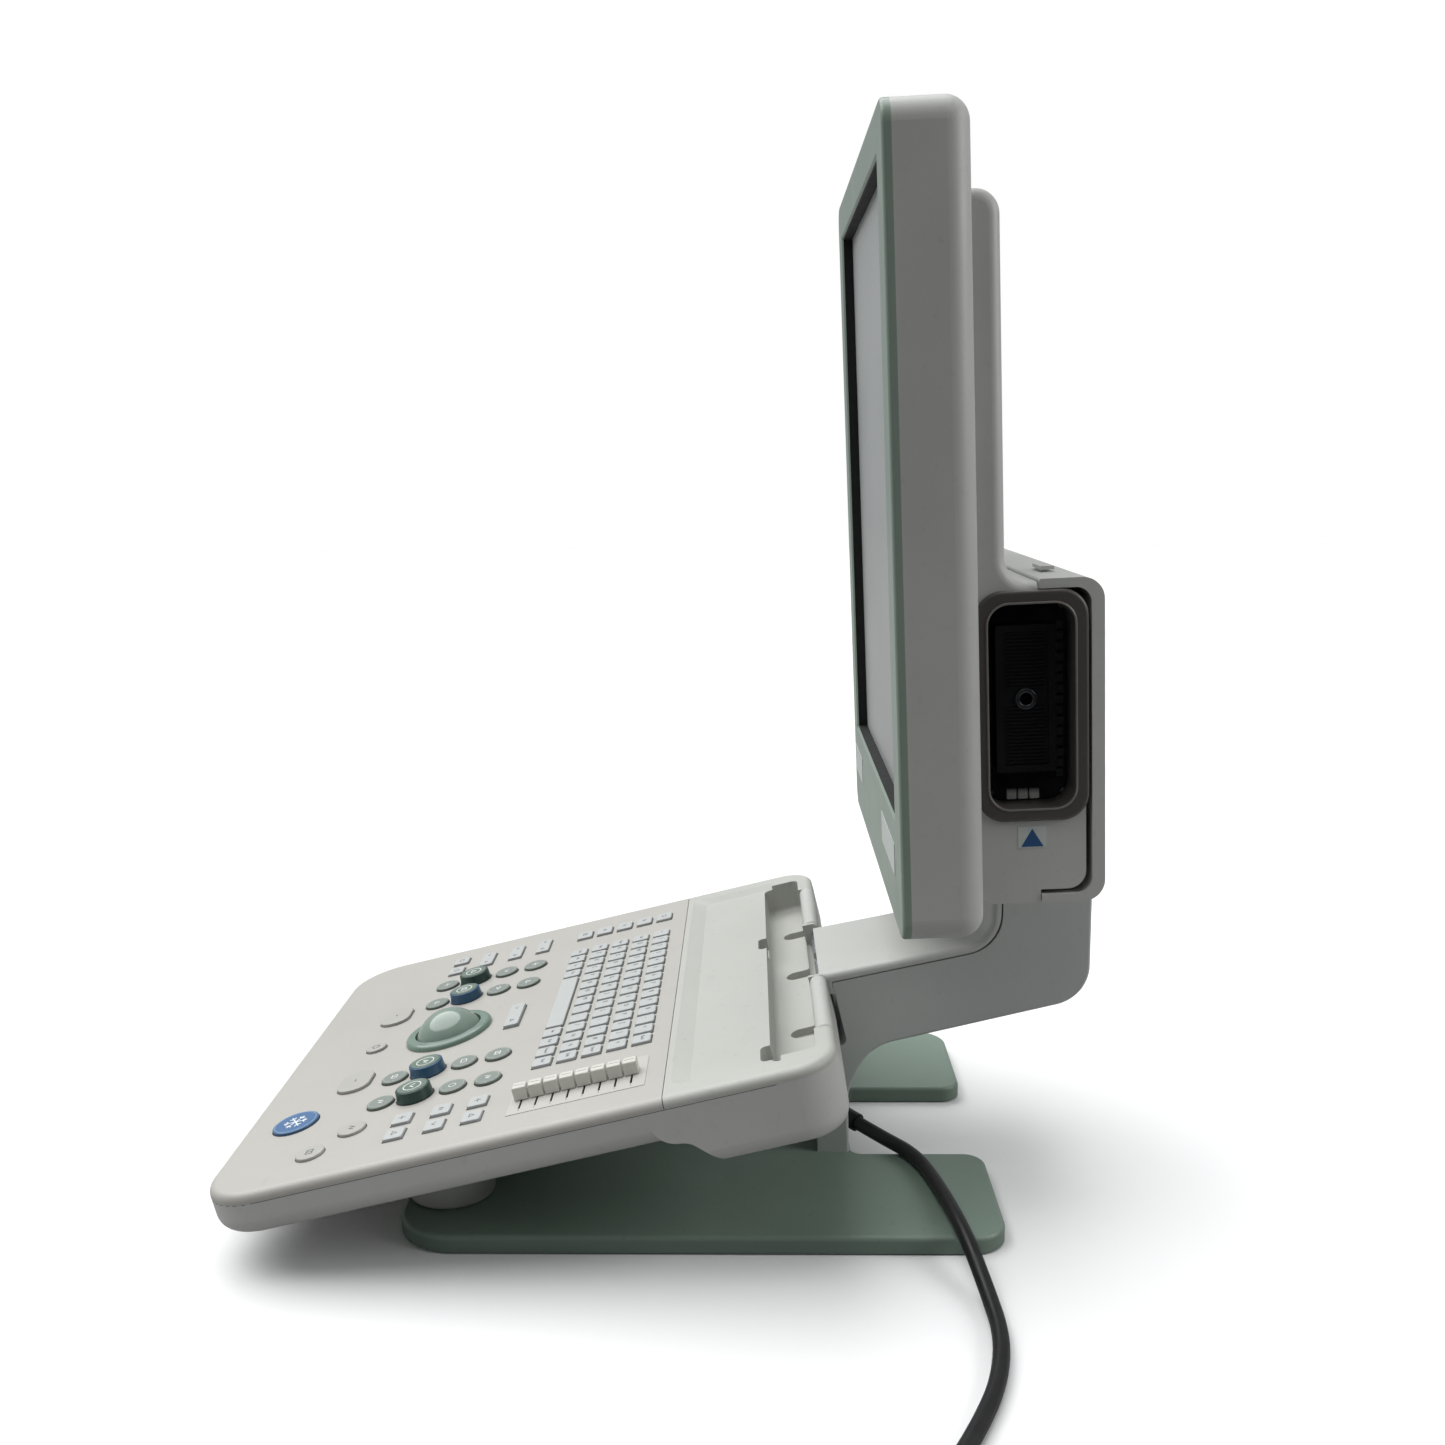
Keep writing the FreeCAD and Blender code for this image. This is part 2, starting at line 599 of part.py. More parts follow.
def deep_profile(inset):
    """Side outline of the deep rear part of the bottom shell, with its S-shaped step."""
    low = KEY_DEEP + inset
    return [(262 + inset * 2, KEY_SHALLOW + inset, 16), (282 + inset, KEY_SHALLOW - 0.5 + inset, 14),
            (301 + inset, low, 16), (KEY_REAR - inset, low, 14), (KEY_REAR - inset, 0.001, 0),
            (262 + inset * 2, 0.001, 0)]


def keyboard_hull(inset, top):
    """Solid shape of the keyboard's lower half, shrunk by inset."""
    r_edge = 11.0 - inset
    shallow = plan_solid(key_outline(inset, 38 - inset, 26 - inset), KEY_SHALLOW + inset, top)
    shallow = soften(shallow, r_edge, lambda p: p.z < KEY_SHALLOW + inset + 0.01)
    deep = plan_solid(key_outline(inset, 38 - inset, 26 - inset), KEY_DEEP + inset, top)
    deep = soften(deep, r_edge, lambda p: p.z < KEY_DEEP + inset + 0.01)
    step = side_solid(deep_profile(inset), -KEY_HALF - 1, KEY_HALF + 1)
    return fuse([shallow, deep.common(step)])


def fold_bore():
    return rod_x(-97, 97, HINGE_S, HINGE_N, PIN_R + RUNNING)


def keyboard_bottom():
    """Bottom shell, with a round boss that gives the trackball its depth."""
    boss = soften(upright(0, BALL_S, 26, BALL_LOW - WALL, -20), 4.0, lambda p: p.z < BALL_LOW - WALL + 0.01)
    shell = fuse([keyboard_hull(0, 0), boss]).cut(keyboard_hull(WALL, 0))
    shell = shell.cut(plan_solid(key_outline(WALL, 35, 23), -4, 1))
    shell = shell.cut(upright(0, BALL_S, 23, BALL_LOW, -15))
    return shell.cut(arm_notch()).cut(rim_pocket(0.3)).cut(fold_bore())


def key_panel():
    """Top cover that carries the controls."""
    plate = plan_solid(key_outline(0, 38, 26), 0, KEY_TOP)
    plate = soften(plate, 5.0, lambda p: p.z > KEY_TOP - 0.01)
    plate = plate.common(block(-300, 300, -100, KEY_SPLIT, -1, 20))
    under = plan_solid(key_outline(WALL, 35, 23), -1, KEY_TOP - WALL)
    under = under.common(block(-300, 300, -100, KEY_SPLIT - WALL, -2, 20))
    plate = plate.cut(under)
    holes = [key_hole(x, s, a, b) for x, s, a, b in square_keys()]
    holes += [paddle_hole(x) for x in PADDLE_X]
    holes += [upright(x, s, r + KEY_GAP, 0, 20) for x, s, r in round_places()]
    holes += [upright(x, KNOB_S, 4.5, 0, 20) for x in knob_places()]
    holes.append(upright(0, BALL_S, RING_R - 4, 0, 20))
    holes.append(block(131, 165, 178.5, 256.5, 0, 20))
    return plate.cut(group(holes)).cut(tgc_plate_solid(0.1))


def key_hole(x, s, a, b):
    return block(x - a / 2 - KEY_GAP, x + a / 2 + KEY_GAP, s - b / 2 - KEY_GAP, s + b / 2 + KEY_GAP, 0, 20)


def knob_places():
    return (-COL_OUT, -COL_IN, COL_IN, COL_OUT)


def row_s(row):
    return ROW_FIRST + row * ROW_PITCH


def letter_keys():
    """(x, s, width, depth) of the typing keys; the first row has the space bar in the middle."""
    keys = []
    for row in range(1, 5):
        keys += [(FIELD_X + KEY_PITCH * i, row_s(row), KEY_SIZE, KEY_SIZE) for i in range(14)]
    keys += [(FIELD_X + KEY_PITCH * i, row_s(0), KEY_SIZE, KEY_SIZE) for i in (0, 1, 2, 3, 10, 11, 12, 13)]
    middle = FIELD_X + KEY_PITCH * 6.5
    keys.append((middle, row_s(0), KEY_PITCH * 5 + KEY_SIZE, KEY_SIZE))
    return keys


def panel_keys():
    """(x, s, width, depth) of the light square keys at both sides."""
    right = [(x, s, 14, 12.5) for x in (140, 161) for s in (102, 127.5, 151.5)]
    left = [(x, 79.5, 14, 12.5) for x in (-161, -138)]
    rockers = [(-150, s, 28, 11) for s in (104, 128.5, 152)]
    column = [(-153, row_s(row), 16, 12.5) for row in range(5)]
    return right + left + rockers + column


def square_keys():
    return letter_keys() + panel_keys() + [(0, 152, 40, 11)]


def ball_button_places():
    return [(x, s) for x in knob_places() for s in BUTTON_ROWS]


def light_round_places():
    return [(0, 47.5, 7.5), (137.5, 68, 9.0), (160.5, 47.5, 9.0)]


def freeze_place():
    return (107, 21, 15.2)


def round_places():
    return [(x, s, BUTTON_R) for x, s in ball_button_places()] + light_round_places() + [freeze_place()]


def paddle_hole(x):
    a, b = PADDLE_W / 2 + KEY_GAP, PADDLE_L / 2 + KEY_GAP
    return plan_solid(rectangle(x - a, x + a, PADDLE_S - b, PADDLE_S + b, PADDLE_R + KEY_GAP), 0, 20)


def square_key(x, s, a, b, top, r):
    key = block(x - a / 2, x + a / 2, s - b / 2, s + b / 2, 2.0, top)
    key = soften(key, r, lambda p: at_corner(p, x, s, a, b))
    return soften(key, 0.7, lambda p: p.z > top - 0.01)


def at_corner(p, x, s, a, b):
    """True on a key's upright corner edges."""
    return abs(abs(p.x - x) - a / 2) < 0.01 and abs(abs(p.y - s) - b / 2) < 0.01


def round_key(x, s, r, top):
    key = upright(x, s, r, 2.0, top)
    return soften(key, 0.9, lambda p: p.z > top - 0.01)


def typing_keys():
    """One silicone mat: the caps stand on a thin sheet under the panel."""
    caps = [square_key(x, s, a, b, KEY_TOP + 2.0, 2.0) for x, s, a, b in letter_keys()]
    sheet = block(FIELD_X - 9, FIELD_X + 13 * KEY_PITCH + 9, row_s(0) - 9, row_s(4) + 9, 1.3, 2.3)
    return fuse([sheet] + caps)


def side_keys():
    keys = [square_key(x, s, a, b, KEY_TOP + 2.0, 2.0) for x, s, a, b in panel_keys()]
    return group(keys + [square_key(0, 152, 40, 11, KEY_TOP + 2.6, 2.0)])


def light_keys():
    paddles = [square_key(x, PADDLE_S, PADDLE_W, PADDLE_L, KEY_TOP + 2.2, PADDLE_R) for x in PADDLE_X]
    rounds = [round_key(x, s, r, KEY_TOP + 2.0) for x, s, r in light_round_places()]
    return group(paddles + rounds)


def round_buttons():
    return group([round_key(x, s, BUTTON_R, KEY_TOP + 2.0) for x, s in ball_button_places()])


def freeze_button():
    x, s, r = freeze_place()
    return round_key(x, s, r, KEY_TOP + 1.8)


def knob(x):
    cap = Part.makeCone(KNOB_R, KNOB_R - 0.7, KNOB_TOP - KEY_TOP - 0.4, V(x, KNOB_S, KEY_TOP + 0.4))
    cap = soften(cap, 1.0, lambda p: p.z > KNOB_TOP - 0.01)
    return cap.fuse(upright(x, KNOB_S, 3.0, 0.6, KEY_TOP + 0.5))


def encoders():
    """Rotary encoders under the knobs, with a bore for each knob's shaft."""
    bodies = []
    for x in knob_places():
        body = block(x - 6.5, x + 6.5, KNOB_S - 6.5, KNOB_S + 6.5, -5.5, 2.6)
        bodies.append(body.cut(upright(x, KNOB_S, 3.0 + RUNNING, 0.2, 3)))
    return group(bodies)


def trackball():
    return Part.makeSphere(BALL_R, V(0, BALL_S, BALL_N))


def trackball_ring():
    ring = upright(0, BALL_S, RING_R, KEY_TOP, RING_TOP)
    ring = soften(ring, 3.6, lambda p: p.z > RING_TOP - 0.01)
    ring = ring.fuse(upright(0, BALL_S, RING_R - 5, 1.5, KEY_TOP))
    ring = ring.cut(upright(0, BALL_S, RING_HOLE, 0, 20))
    return ring.cut(Part.makeSphere(BALL_R + 0.5, V(0, BALL_S, BALL_N)))


def trackball_seat():
    """Cup under the ball with three bearing posts."""
    cup = upright(0, BALL_S, RING_R - 1, KEY_SHALLOW + WALL, 1.3)
    cup = cup.cut(Part.makeSphere(BALL_R + 1.0, V(0, BALL_S, BALL_N)))
    return cup.cut(upright(0, BALL_S, 19, -30, -10))


def tgc_plate_solid(grow):
    return block(126 - grow, 170 + grow, 174 - grow, 261 + grow, KEY_TOP - 0.8 - grow, KEY_TOP + 0.3)


def slide_s(i):
    return SLIDE_FIRST + i * SLIDE_PITCH


def tgc_plate():
    """Scale plate with one slot for each slider."""
    plate = tgc_plate_solid(0)
    slots = [block(132.5, 163.5, slide_s(i) - SLOT_W / 2, slide_s(i) + SLOT_W / 2, 0, 20) for i in range(8)]
    return plate.cut(group(slots))


def slider_bank():
    """Slide potentiometers under the plate, with an open track for each stem."""
    tracks = []
    for i in range(8):
        body = block(129, 167, slide_s(i) - 3.8, slide_s(i) + 3.8, -4.5, 1.5)
        tracks.append(body.cut(block(131, 165, slide_s(i) - 1.3, slide_s(i) + 1.3, -3.5, 3)))
    return group(tracks)


def tgc_cap(i):
    s = slide_s(i)
    cap = block(SLIDE_X - 4.2, SLIDE_X + 4.2, s - 4.3, s + 4.3, KEY_TOP + 0.8, KEY_TOP + 9.0)
    cap = soften(cap, 0.9, lambda p: p.z > KEY_TOP + 8.99)
    stem = block(SLIDE_X - 2, SLIDE_X + 2, s - 0.35, s + 0.35, -2.5, KEY_TOP + 1)
    return cap.fuse(stem)


def keyboard_board():
    """Main control board under the keys."""
    board = block(-178, 178, 8, 262, -8.5, -7.0)
    board = board.cut(upright(0, BALL_S, RING_R + 1, -20, 0))
    stands = [upright(x, s, 3.0, KEY_SHALLOW + WALL, -8.5) for x in (-165, 165) for s in (20, 140, 250)]
    dome_sheet = block(-175, 122, 172, 262, -7.0, -0.2)
    front_sheet = block(-172, 172, 9, 33, -7.0, -5.5)
    return fuse([board] + stands + [dome_sheet, front_sheet])


def tray_cover():
    rim = plan_solid(key_outline(0, 38, 26), 0, KEY_TOP)
    rim = soften(rim, 5.0, lambda p: p.z > KEY_TOP - 0.01)
    rim = rim.common(block(-300, 300, KEY_SPLIT + SPLIT_GAP, 400, -1, 20))
    tub = plan_solid(rectangle(-179, 179, 331, 373.5, 4), TROUGH_LOW - WALL, 0)
    body = fuse([rim, tub] + notches(WALL - 1, 373.5, TROUGH_LOW - 1))
    ledge = tray_deck().common(block(-190, 190, 270, 345, -5, 20))
    trough = plan_solid(rectangle(-172, 172, 338, 366.5, 6), TROUGH_LOW, 12)
    trough = soften(trough, 4.0, lambda p: p.z < TROUGH_LOW + 0.01)
    cuts = [ledge, trough, block(-190, 190, 276, 330, -1, 0.4)]
    cuts += [plan_solid(rectangle(x - 11, x + 11, 331.8, 349, 4), -6, 12) for x in (-43, 157)]
    cuts += notches(0, 366.5, TROUGH_LOW + 4)
    return body.cut(group(cuts)).cut(arm_notch()).cut(rim_pocket(0.3)).cut(fold_bore())


def tray_deck():
    """Shallow recess of the tray: its sides slope down to a flat deck."""
    low = rounded_wire(rectangle(-173, 173, 288.5, 366, 6), lambda p: V(p.x, p.y, DECK_N))
    high = rounded_wire(rectangle(-179.5, 179.5, 277.5, 371.5, 9), lambda p: V(p.x, p.y, KEY_TOP))
    lid = plan_solid(rectangle(-179.5, 179.5, 277.5, 371.5, 9), KEY_TOP, KEY_TOP + 3)
    deck = Part.makeLoft([low, high], True, True)
    return deck.fuse(lid)


def notches(grow, rear, high):
    """Three slots with a round front end; grown, they are the cups below the trough."""
    r, low = NOTCH_HALF + grow, NOTCH_LOW - grow
    return [block(x - r, x + r, 355, rear, low, high).fuse(upright(x, 355, r, low, high))
            for x in (-107, -19, 87)]


def rim_blocks():
    """Hinge blocks beside the arm; each holds one end of a fold pin."""
    outline = [(366.8, -13, 0), (KEY_REAR, -13, 0), (KEY_REAR, KEY_TOP + 0.8, 5.2), (366.8, KEY_TOP + 0.8, 5.2)]
    piece = side_solid(outline, 56, 143)
    piece = soften(piece, 2.5, lambda p: p.z > 0 and (p.x < 56.01 or p.x > 142.99))
    return group(both_sides(piece.cut(fold_bore())))


def keyboard_feet():
    """Round feet, upright when the keyboard rests on the foot plate."""
    floor = BASE_TOP + 0.3
    feet = []
    for x in (-104, 104):
        post = upright(x, -146, 28.0, floor, 90)
        feet.append(soften(post, 2.0, lambda p: p.z < floor + 0.01))
    hull = on_keyboard(keyboard_hull(0, 30))
    return group([foot.cut(hull).Solids[0] for foot in feet])


def keyboard_screws():
    screws = []
    for x in (-150, 150):
        for s in (40, 240):
            head = upright(x, s, 4.0, KEY_SHALLOW - 1.2, KEY_SHALLOW)
            screws.append(head.cut(upright(x, s, 1.8, KEY_SHALLOW - 2, KEY_SHALLOW - 0.5)))
    return group(screws)


# ---- files ----
def on_stand():
    return {"base_plate": base_plate(), "base_pads": base_pads(), "neck_frame": neck_frame(),
            "arm_shell": arm_shell(), "arm_top_cover": arm_top_cover(), "hinge_pins": hinge_pins(),
            "stand_screws": stand_screws(), "tilt_bracket": tilt_bracket(), "tilt_pin": tilt_pin(),
            "cord_gland": cord_gland(), "cord_tube": cord_tube(), "cord_coil": cord_coil(),
            "plug_body": plug_body(), "plug_pins": plug_pins(), "hinge_block": hinge_block(),
            "keyboard_feet": keyboard_feet()}


def monitor_nodes():
    return {"front_bezel": front_bezel(), "trim_plates": trim_plates(), "screen_gasket": screen_gasket(),
            "lcd_panel": lcd_panel(), "rear_shell": rear_shell(), "rear_housing": rear_housing(),
            "rear_cover": rear_cover(), "cover_latches": cover_latches(), "socket_bezel": socket_bezel(),
            "socket_board": socket_board(), "probe_connector": probe_connector(),
            "socket_parts": socket_parts(), "main_board": main_board(), "battery_pack": battery_pack(),
            "housing_screws": housing_screws()}


def keyboard_nodes():
    nodes = {"keyboard_bottom": keyboard_bottom(), "key_panel": key_panel(), "tray_cover": tray_cover(),
             "rim_blocks": rim_blocks(), "keyboard_board": keyboard_board(), "encoders": encoders(),
             "trackball_ring": trackball_ring(), "trackball_seat": trackball_seat(),
             "tgc_plate": tgc_plate(), "slider_bank": slider_bank(), "keyboard_screws": keyboard_screws(),
             "trackball": trackball(), "freeze_button": freeze_button(), "round_buttons": round_buttons(),
             "light_keys": light_keys(), "side_keys": side_keys(),
             "typing_keys": typing_keys(), "knob_green_left": knob(-COL_OUT),
             "knob_blue_left": knob(-COL_IN), "knob_blue_right": knob(COL_IN),
             "knob_green_right": knob(COL_OUT)}
    for i in range(8):
        nodes["tgc_cap_%d" % (i + 1)] = tgc_cap(i)
    return nodes


def main():
    os.makedirs("parts", exist_ok=True)
    shapes = on_stand()
    shapes.update({name: on_monitor(shape) for name, shape in monitor_nodes().items()})
    shapes.update({name: on_keyboard(shape) for name, shape in keyboard_nodes().items()})
    for name, shape in shapes.items():
        shape.exportStep("parts/%s.step" % name)
        print(name, len(shape.Solids), shape.isValid(), round(shape.Volume))


main()
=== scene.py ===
import json
import math

import bmesh
import bpy
from mathutils import Matrix, Vector


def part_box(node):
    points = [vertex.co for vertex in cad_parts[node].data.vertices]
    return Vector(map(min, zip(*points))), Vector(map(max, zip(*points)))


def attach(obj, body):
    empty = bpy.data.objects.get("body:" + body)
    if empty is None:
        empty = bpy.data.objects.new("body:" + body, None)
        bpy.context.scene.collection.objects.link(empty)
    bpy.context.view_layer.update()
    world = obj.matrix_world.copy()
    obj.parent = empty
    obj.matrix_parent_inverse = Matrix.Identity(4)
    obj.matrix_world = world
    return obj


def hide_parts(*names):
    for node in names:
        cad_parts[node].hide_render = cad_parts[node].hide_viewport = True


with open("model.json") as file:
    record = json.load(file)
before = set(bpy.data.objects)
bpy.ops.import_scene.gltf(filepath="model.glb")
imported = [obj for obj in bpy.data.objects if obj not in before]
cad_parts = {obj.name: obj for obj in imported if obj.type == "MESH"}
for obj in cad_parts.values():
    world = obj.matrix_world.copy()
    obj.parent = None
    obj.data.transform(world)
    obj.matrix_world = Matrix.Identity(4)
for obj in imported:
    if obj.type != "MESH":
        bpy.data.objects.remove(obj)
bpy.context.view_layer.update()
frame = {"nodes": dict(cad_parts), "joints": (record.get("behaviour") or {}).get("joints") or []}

NODES = frame["nodes"]
JOINTS = {joint["name"]: joint for joint in frame["joints"]}

# ---- the two tilted frames, in metres ----
X = Vector((1, 0, 0))
PANEL_N = -Vector(JOINTS["typing_keys_press"]["axis"]).normalized()     # off the keyboard's face
PANEL_S = PANEL_N.cross(X)                                              # up the keyboard's slope
FOLD_AT = Vector(JOINTS["keyboard_fold"]["pos_m"])
FOLD_S, FOLD_N = 0.374, -0.003                                          # the fold axis in that frame
PANEL_ORIGIN = FOLD_AT - PANEL_S * FOLD_S - PANEL_N * FOLD_N
PANEL_TOP = 0.0065
MONITOR_LEAN = math.radians(2.335)
MONITOR_ORIGIN = Vector((0, 0.1395, 0.2113))
REAR = Vector((0, math.cos(MONITOR_LEAN), math.sin(MONITOR_LEAN)))      # through the monitor
UP = X.cross(REAR)                                                      # up the screen

# ---- camera ----
CAMERA_AT = Vector((0.97475, 0.05192, 0.48372))
PITCH, YAW, ROLL = 0.181, 0.020, -0.008
LENS = 35.68
FLOOR_REACH, FLOOR_EDGE = 7, 0.62         # far sides of the floor, and its edge past the coil
FLOOR_BOUNCE = 0.35                      # share of its light that the floor throws back

# ---- power lead ----
CORD_D = 0.0096
CORD_ROUTE = [(0.0222, 0.1265, 0.0196), (0.040, 0.142, 0.0176), (0.066, 0.163, 0.0172),
              (0.104, 0.1725, 0.0172), (0.172, 0.181, 0.021), (0.214, 0.189, 0.0052),
              (0.254, 0.190, 0.0049), (0.294, 0.181, 0.0049), (0.331, 0.164, 0.0049),
              (0.366, 0.144, 0.0049), (0.398, 0.121, 0.0049)]
COIL_C = Vector((0.4376, 0.1755, 0))
COIL_TRACKS = (0.0674, 0.0386)           # outermost and innermost turn
COIL_START = math.radians(234)


# ---- places ----
def on_panel(x, s, n):
    """A point in the keyboard's frame: x across, s up the slope, n off the face."""
    return PANEL_ORIGIN + X * x + PANEL_S * s + PANEL_N * n


def from_panel(p):
    offset = p - PANEL_ORIGIN
    return Vector((offset.x, offset.dot(PANEL_S), offset.dot(PANEL_N)))


def on_monitor(x, u, w):
    """A point in the monitor's frame: x across, u to the rear, w up the screen."""
    return MONITOR_ORIGIN + X * x + REAR * u + UP * w


def on_side(u, w, x):
    """A flat point on the monitor's probe side: u to the rear, w up, x outwards."""
    return on_monitor(x, u, w)


# ---- pieces ----
def finish_piece(name, mesh, material, body, smooth=True):
    piece = bpy.data.objects.new(name, mesh)
    bpy.context.scene.collection.objects.link(piece)
    mesh.materials.append(material)
    if smooth:
        for face in mesh.polygons:
            face.use_smooth = True
    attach(piece, body)
    return piece


def mesh_from(bm, name):
    bmesh.ops.recalc_face_normals(bm, faces=bm.faces)
    mesh = bpy.data.meshes.new(name)
    bm.to_mesh(mesh)
    bm.free()
    return mesh


def add_slab(bm, points, lift):
    """Closed slab: a flat outline raised by the vector lift."""
    low = [bm.verts.new(p) for p in points]
    high = [bm.verts.new(p + lift) for p in points]
    bm.faces.new(low)
    bm.faces.new(high)
    for i in range(len(points)):
        j = (i + 1) % len(points)
        bm.faces.new((low[i], low[j], high[j], high[i]))


def add_bar(bm, place, a, b, width, lift):
    """Flat bar from a to b in a two-number plane that place turns into space."""
    a, b = Vector(a), Vector(b)
    along = (b - a).normalized() * width / 2
    side = Vector((-along.y, along.x))
    corners = (a - along - side, b + along - side, b + along + side, a - along + side)
    add_slab(bm, [place(*corner) for corner in corners], lift)


def round_outline(r, count):
    """Circle about zero, as count flat points."""
    turns = [2 * math.pi * i / count for i in range(count)]
    return [(r * math.cos(t), r * math.sin(t)) for t in turns]


def box_outline(x0, x1, y0, y1, r, steps):
    """Rectangle with round corners of so many steps each, counter-clockwise."""
    points = []
    centres = ((x1 - r, y0 + r, -90), (x1 - r, y1 - r, 0), (x0 + r, y1 - r, 90), (x0 + r, y0 + r, 180))
    for cx, cy, a in centres:
        for i in range(steps + 1):
            t = math.radians(a + 90 * i / steps)
            points.append((cx + r * math.cos(t), cy + r * math.sin(t)))
    return points


def add_ribbon(bm, outline, inset, place, lift):
    """Closed flat ring between an outline and the same outline drawn in by inset."""
    count = len(outline)
    inner = []
    for i in range(count):
        a, b, c = (Vector(outline[(i + k) % count]) for k in (-1, 0, 1))
        tangent = (c - a).normalized()
        inner.append(b + Vector((-tangent.y, tangent.x)) * inset)
    rings = []
    for raised in (Vector((0, 0, 0)), lift):
        for flat in (outline, inner):
            rings.append([bm.verts.new(place(*p) + raised) for p in flat])
    low_out, low_in, high_out, high_in = rings
    for i in range(count):
        j = (i + 1) % count
        bm.faces.new((low_out[i], low_out[j], low_in[j], low_in[i]))
        bm.faces.new((high_out[i], high_out[j], high_in[j], high_in[i]))
        bm.faces.new((low_out[i], low_out[j], high_out[j], high_out[i]))
        bm.faces.new((low_in[i], low_in[j], high_in[j], high_in[i]))


def add_turned(bm, centre, axis, across, profile, count):
    """Turned shape from (radius, height) points; a radius of 0 closes an end."""
    axis = axis.normalized()
    across = across.normalized()
    side = axis.cross(across)
    rings = []
    for r, h in profile:
        if r == 0:
            rings.append([bm.verts.new(centre + axis * h)])
            continue
        ring = []
        for i in range(count):
            t = 2 * math.pi * i / count
            ring.append(bm.verts.new(centre + axis * h + across * r * math.cos(t) + side * r * math.sin(t)))
        rings.append(ring)
    for low, high in zip(rings, rings[1:]):
        for i in range(count):
            j = (i + 1) % count
            corners = [low[i % len(low)], low[j % len(low)], high[j % len(high)], high[i % len(high)]]
            face = list(dict.fromkeys(corners))
            if len(face) > 2:
                bm.faces.new(face)


def key_tops(node):
    """(centre, width, depth) of each flat top in a node of keys, row by row, in panel coordinates."""
    bm = bmesh.new()
    bm.from_mesh(NODES[node].data)
    bmesh.ops.remove_doubles(bm, verts=bm.verts, dist=1e-6)
    high = max(from_panel(v.co).z for v in bm.verts)
    flat = {f for f in bm.faces if f.normal.dot(PANEL_N) > 0.999
            and from_panel(f.calc_center_median()).z > high - 0.001}
    tops = []
    while flat:
        island = [flat.pop()]
        for face in island:
            for edge in face.edges:
                for other in edge.link_faces:
                    if other in flat:
                        flat.remove(other)
                        island.append(other)
        points = [from_panel(v.co) for face in island for v in face.verts]
        low = Vector([min(p[k] for p in points) for k in range(3)])
        top = Vector([max(p[k] for p in points) for k in range(3)])
        tops.append(((low + top) / 2, top.x - low.x, top.y - low.y))
    bm.free()
    return sorted(tops, key=lambda top: (round(top[0].y, 3), top[0].x))


# ---- materials ----
def linear(colour):
    """Linear colour from six hex digits."""
    parts = [int(colour[i:i + 2], 16) / 255 for i in (0, 2, 4)]
    return [c / 12.92 if c <= 0.04045 else ((c + 0.055) / 1.055) ** 2.4 for c in parts] + [1.0]


def shade(colour, factor):
    return [min(1.0, c * factor) for c in colour[:3]] + [1.0]


class Shader:
    """One material's nodes: a principled shader and what feeds it."""

    def __init__(self, name):
        self.material = bpy.data.materials.new(name)
        self.material.use_nodes = True
        self.tree = self.material.node_tree
        self.surface = self.tree.nodes["Principled BSDF"]
        self.place = self.tree.nodes.new("ShaderNodeTexCoord").outputs["Object"]

    def set(self, **values):
        for name, value in values.items():
            self.surface.inputs[name.replace("_", " ")].default_value = value

    def link(self, a, b):
        self.tree.links.new(a, b)

    def noise(self, scale, detail=2.0, stretch=None):
        node = self.tree.nodes.new("ShaderNodeTexNoise")
        node.inputs["Scale"].default_value = scale
        node.inputs["Detail"].default_value = detail
        if stretch is None:
            self.link(self.place, node.inputs["Vector"])
        else:
            mapping = self.tree.nodes.new("ShaderNodeMapping")
            mapping.inputs["Scale"].default_value = stretch
            self.link(self.place, mapping.inputs["Vector"])
            self.link(mapping.outputs["Vector"], node.inputs["Vector"])
        return node.outputs["Fac"]

    def ramp(self, factor, stops):
        node = self.tree.nodes.new("ShaderNodeValToRGB")
        while len(node.color_ramp.elements) < len(stops):
            node.color_ramp.elements.new(0.5)
        for element, (at, colour) in zip(node.color_ramp.elements, stops):
            element.position = at
            element.color = colour
        self.link(factor, node.inputs["Fac"])
        return node.outputs["Color"]

    def mix(self, factor, a, b):
        node = self.tree.nodes.new("ShaderNodeMix")
        node.data_type = "RGBA"
        self.link(factor, node.inputs["Factor"])
        for value, socket in ((a, node.inputs["A"]), (b, node.inputs["B"])):
            if isinstance(value, bpy.types.NodeSocket):
                self.link(value, socket)
            else:
                socket.default_value = value
        return node.outputs["Result"]

    def span(self, factor, low, high):
        node = self.tree.nodes.new("ShaderNodeMapRange")
        node.inputs["To Min"].default_value = low
        node.inputs["To Max"].default_value = high
        self.link(factor, node.inputs["Value"])
        return node.outputs["Result"]

    def bump(self, height, strength, distance):
        node = self.tree.nodes.new("ShaderNodeBump")
        node.inputs["Strength"].default_value = strength
        node.inputs["Distance"].default_value = distance
        self.link(height, node.inputs["Height"])
        self.link(node.outputs["Normal"], self.surface.inputs["Normal"])


def moulded(name, colour, rough, grain=0.00006, variation=0.05, grime=0.0):
    """Injection-moulded plastic: spark-eroded grain, slight tint drift and uneven sheen."""
    s = Shader(name)
    base = linear(colour)
    drift = s.noise(9.0, 3.0)
    tone = s.ramp(drift, ((0.3, shade(base, 1 - variation)), (0.7, shade(base, 1 + variation * 0.6))))
    if grime:
        specks = s.ramp(s.noise(160.0, 4.0), ((0.62, (0, 0, 0, 1)), (0.78, (grime, grime, grime, 1))))
        tone = s.mix(specks, tone, shade(base, 0.62))
    s.link(tone, s.surface.inputs["Base Color"])
    s.link(s.span(s.noise(30.0, 4.0), rough - 0.06, rough + 0.07), s.surface.inputs["Roughness"])
    s.bump(s.noise(1400.0, 1.0), 0.25, grain)
    return s.material


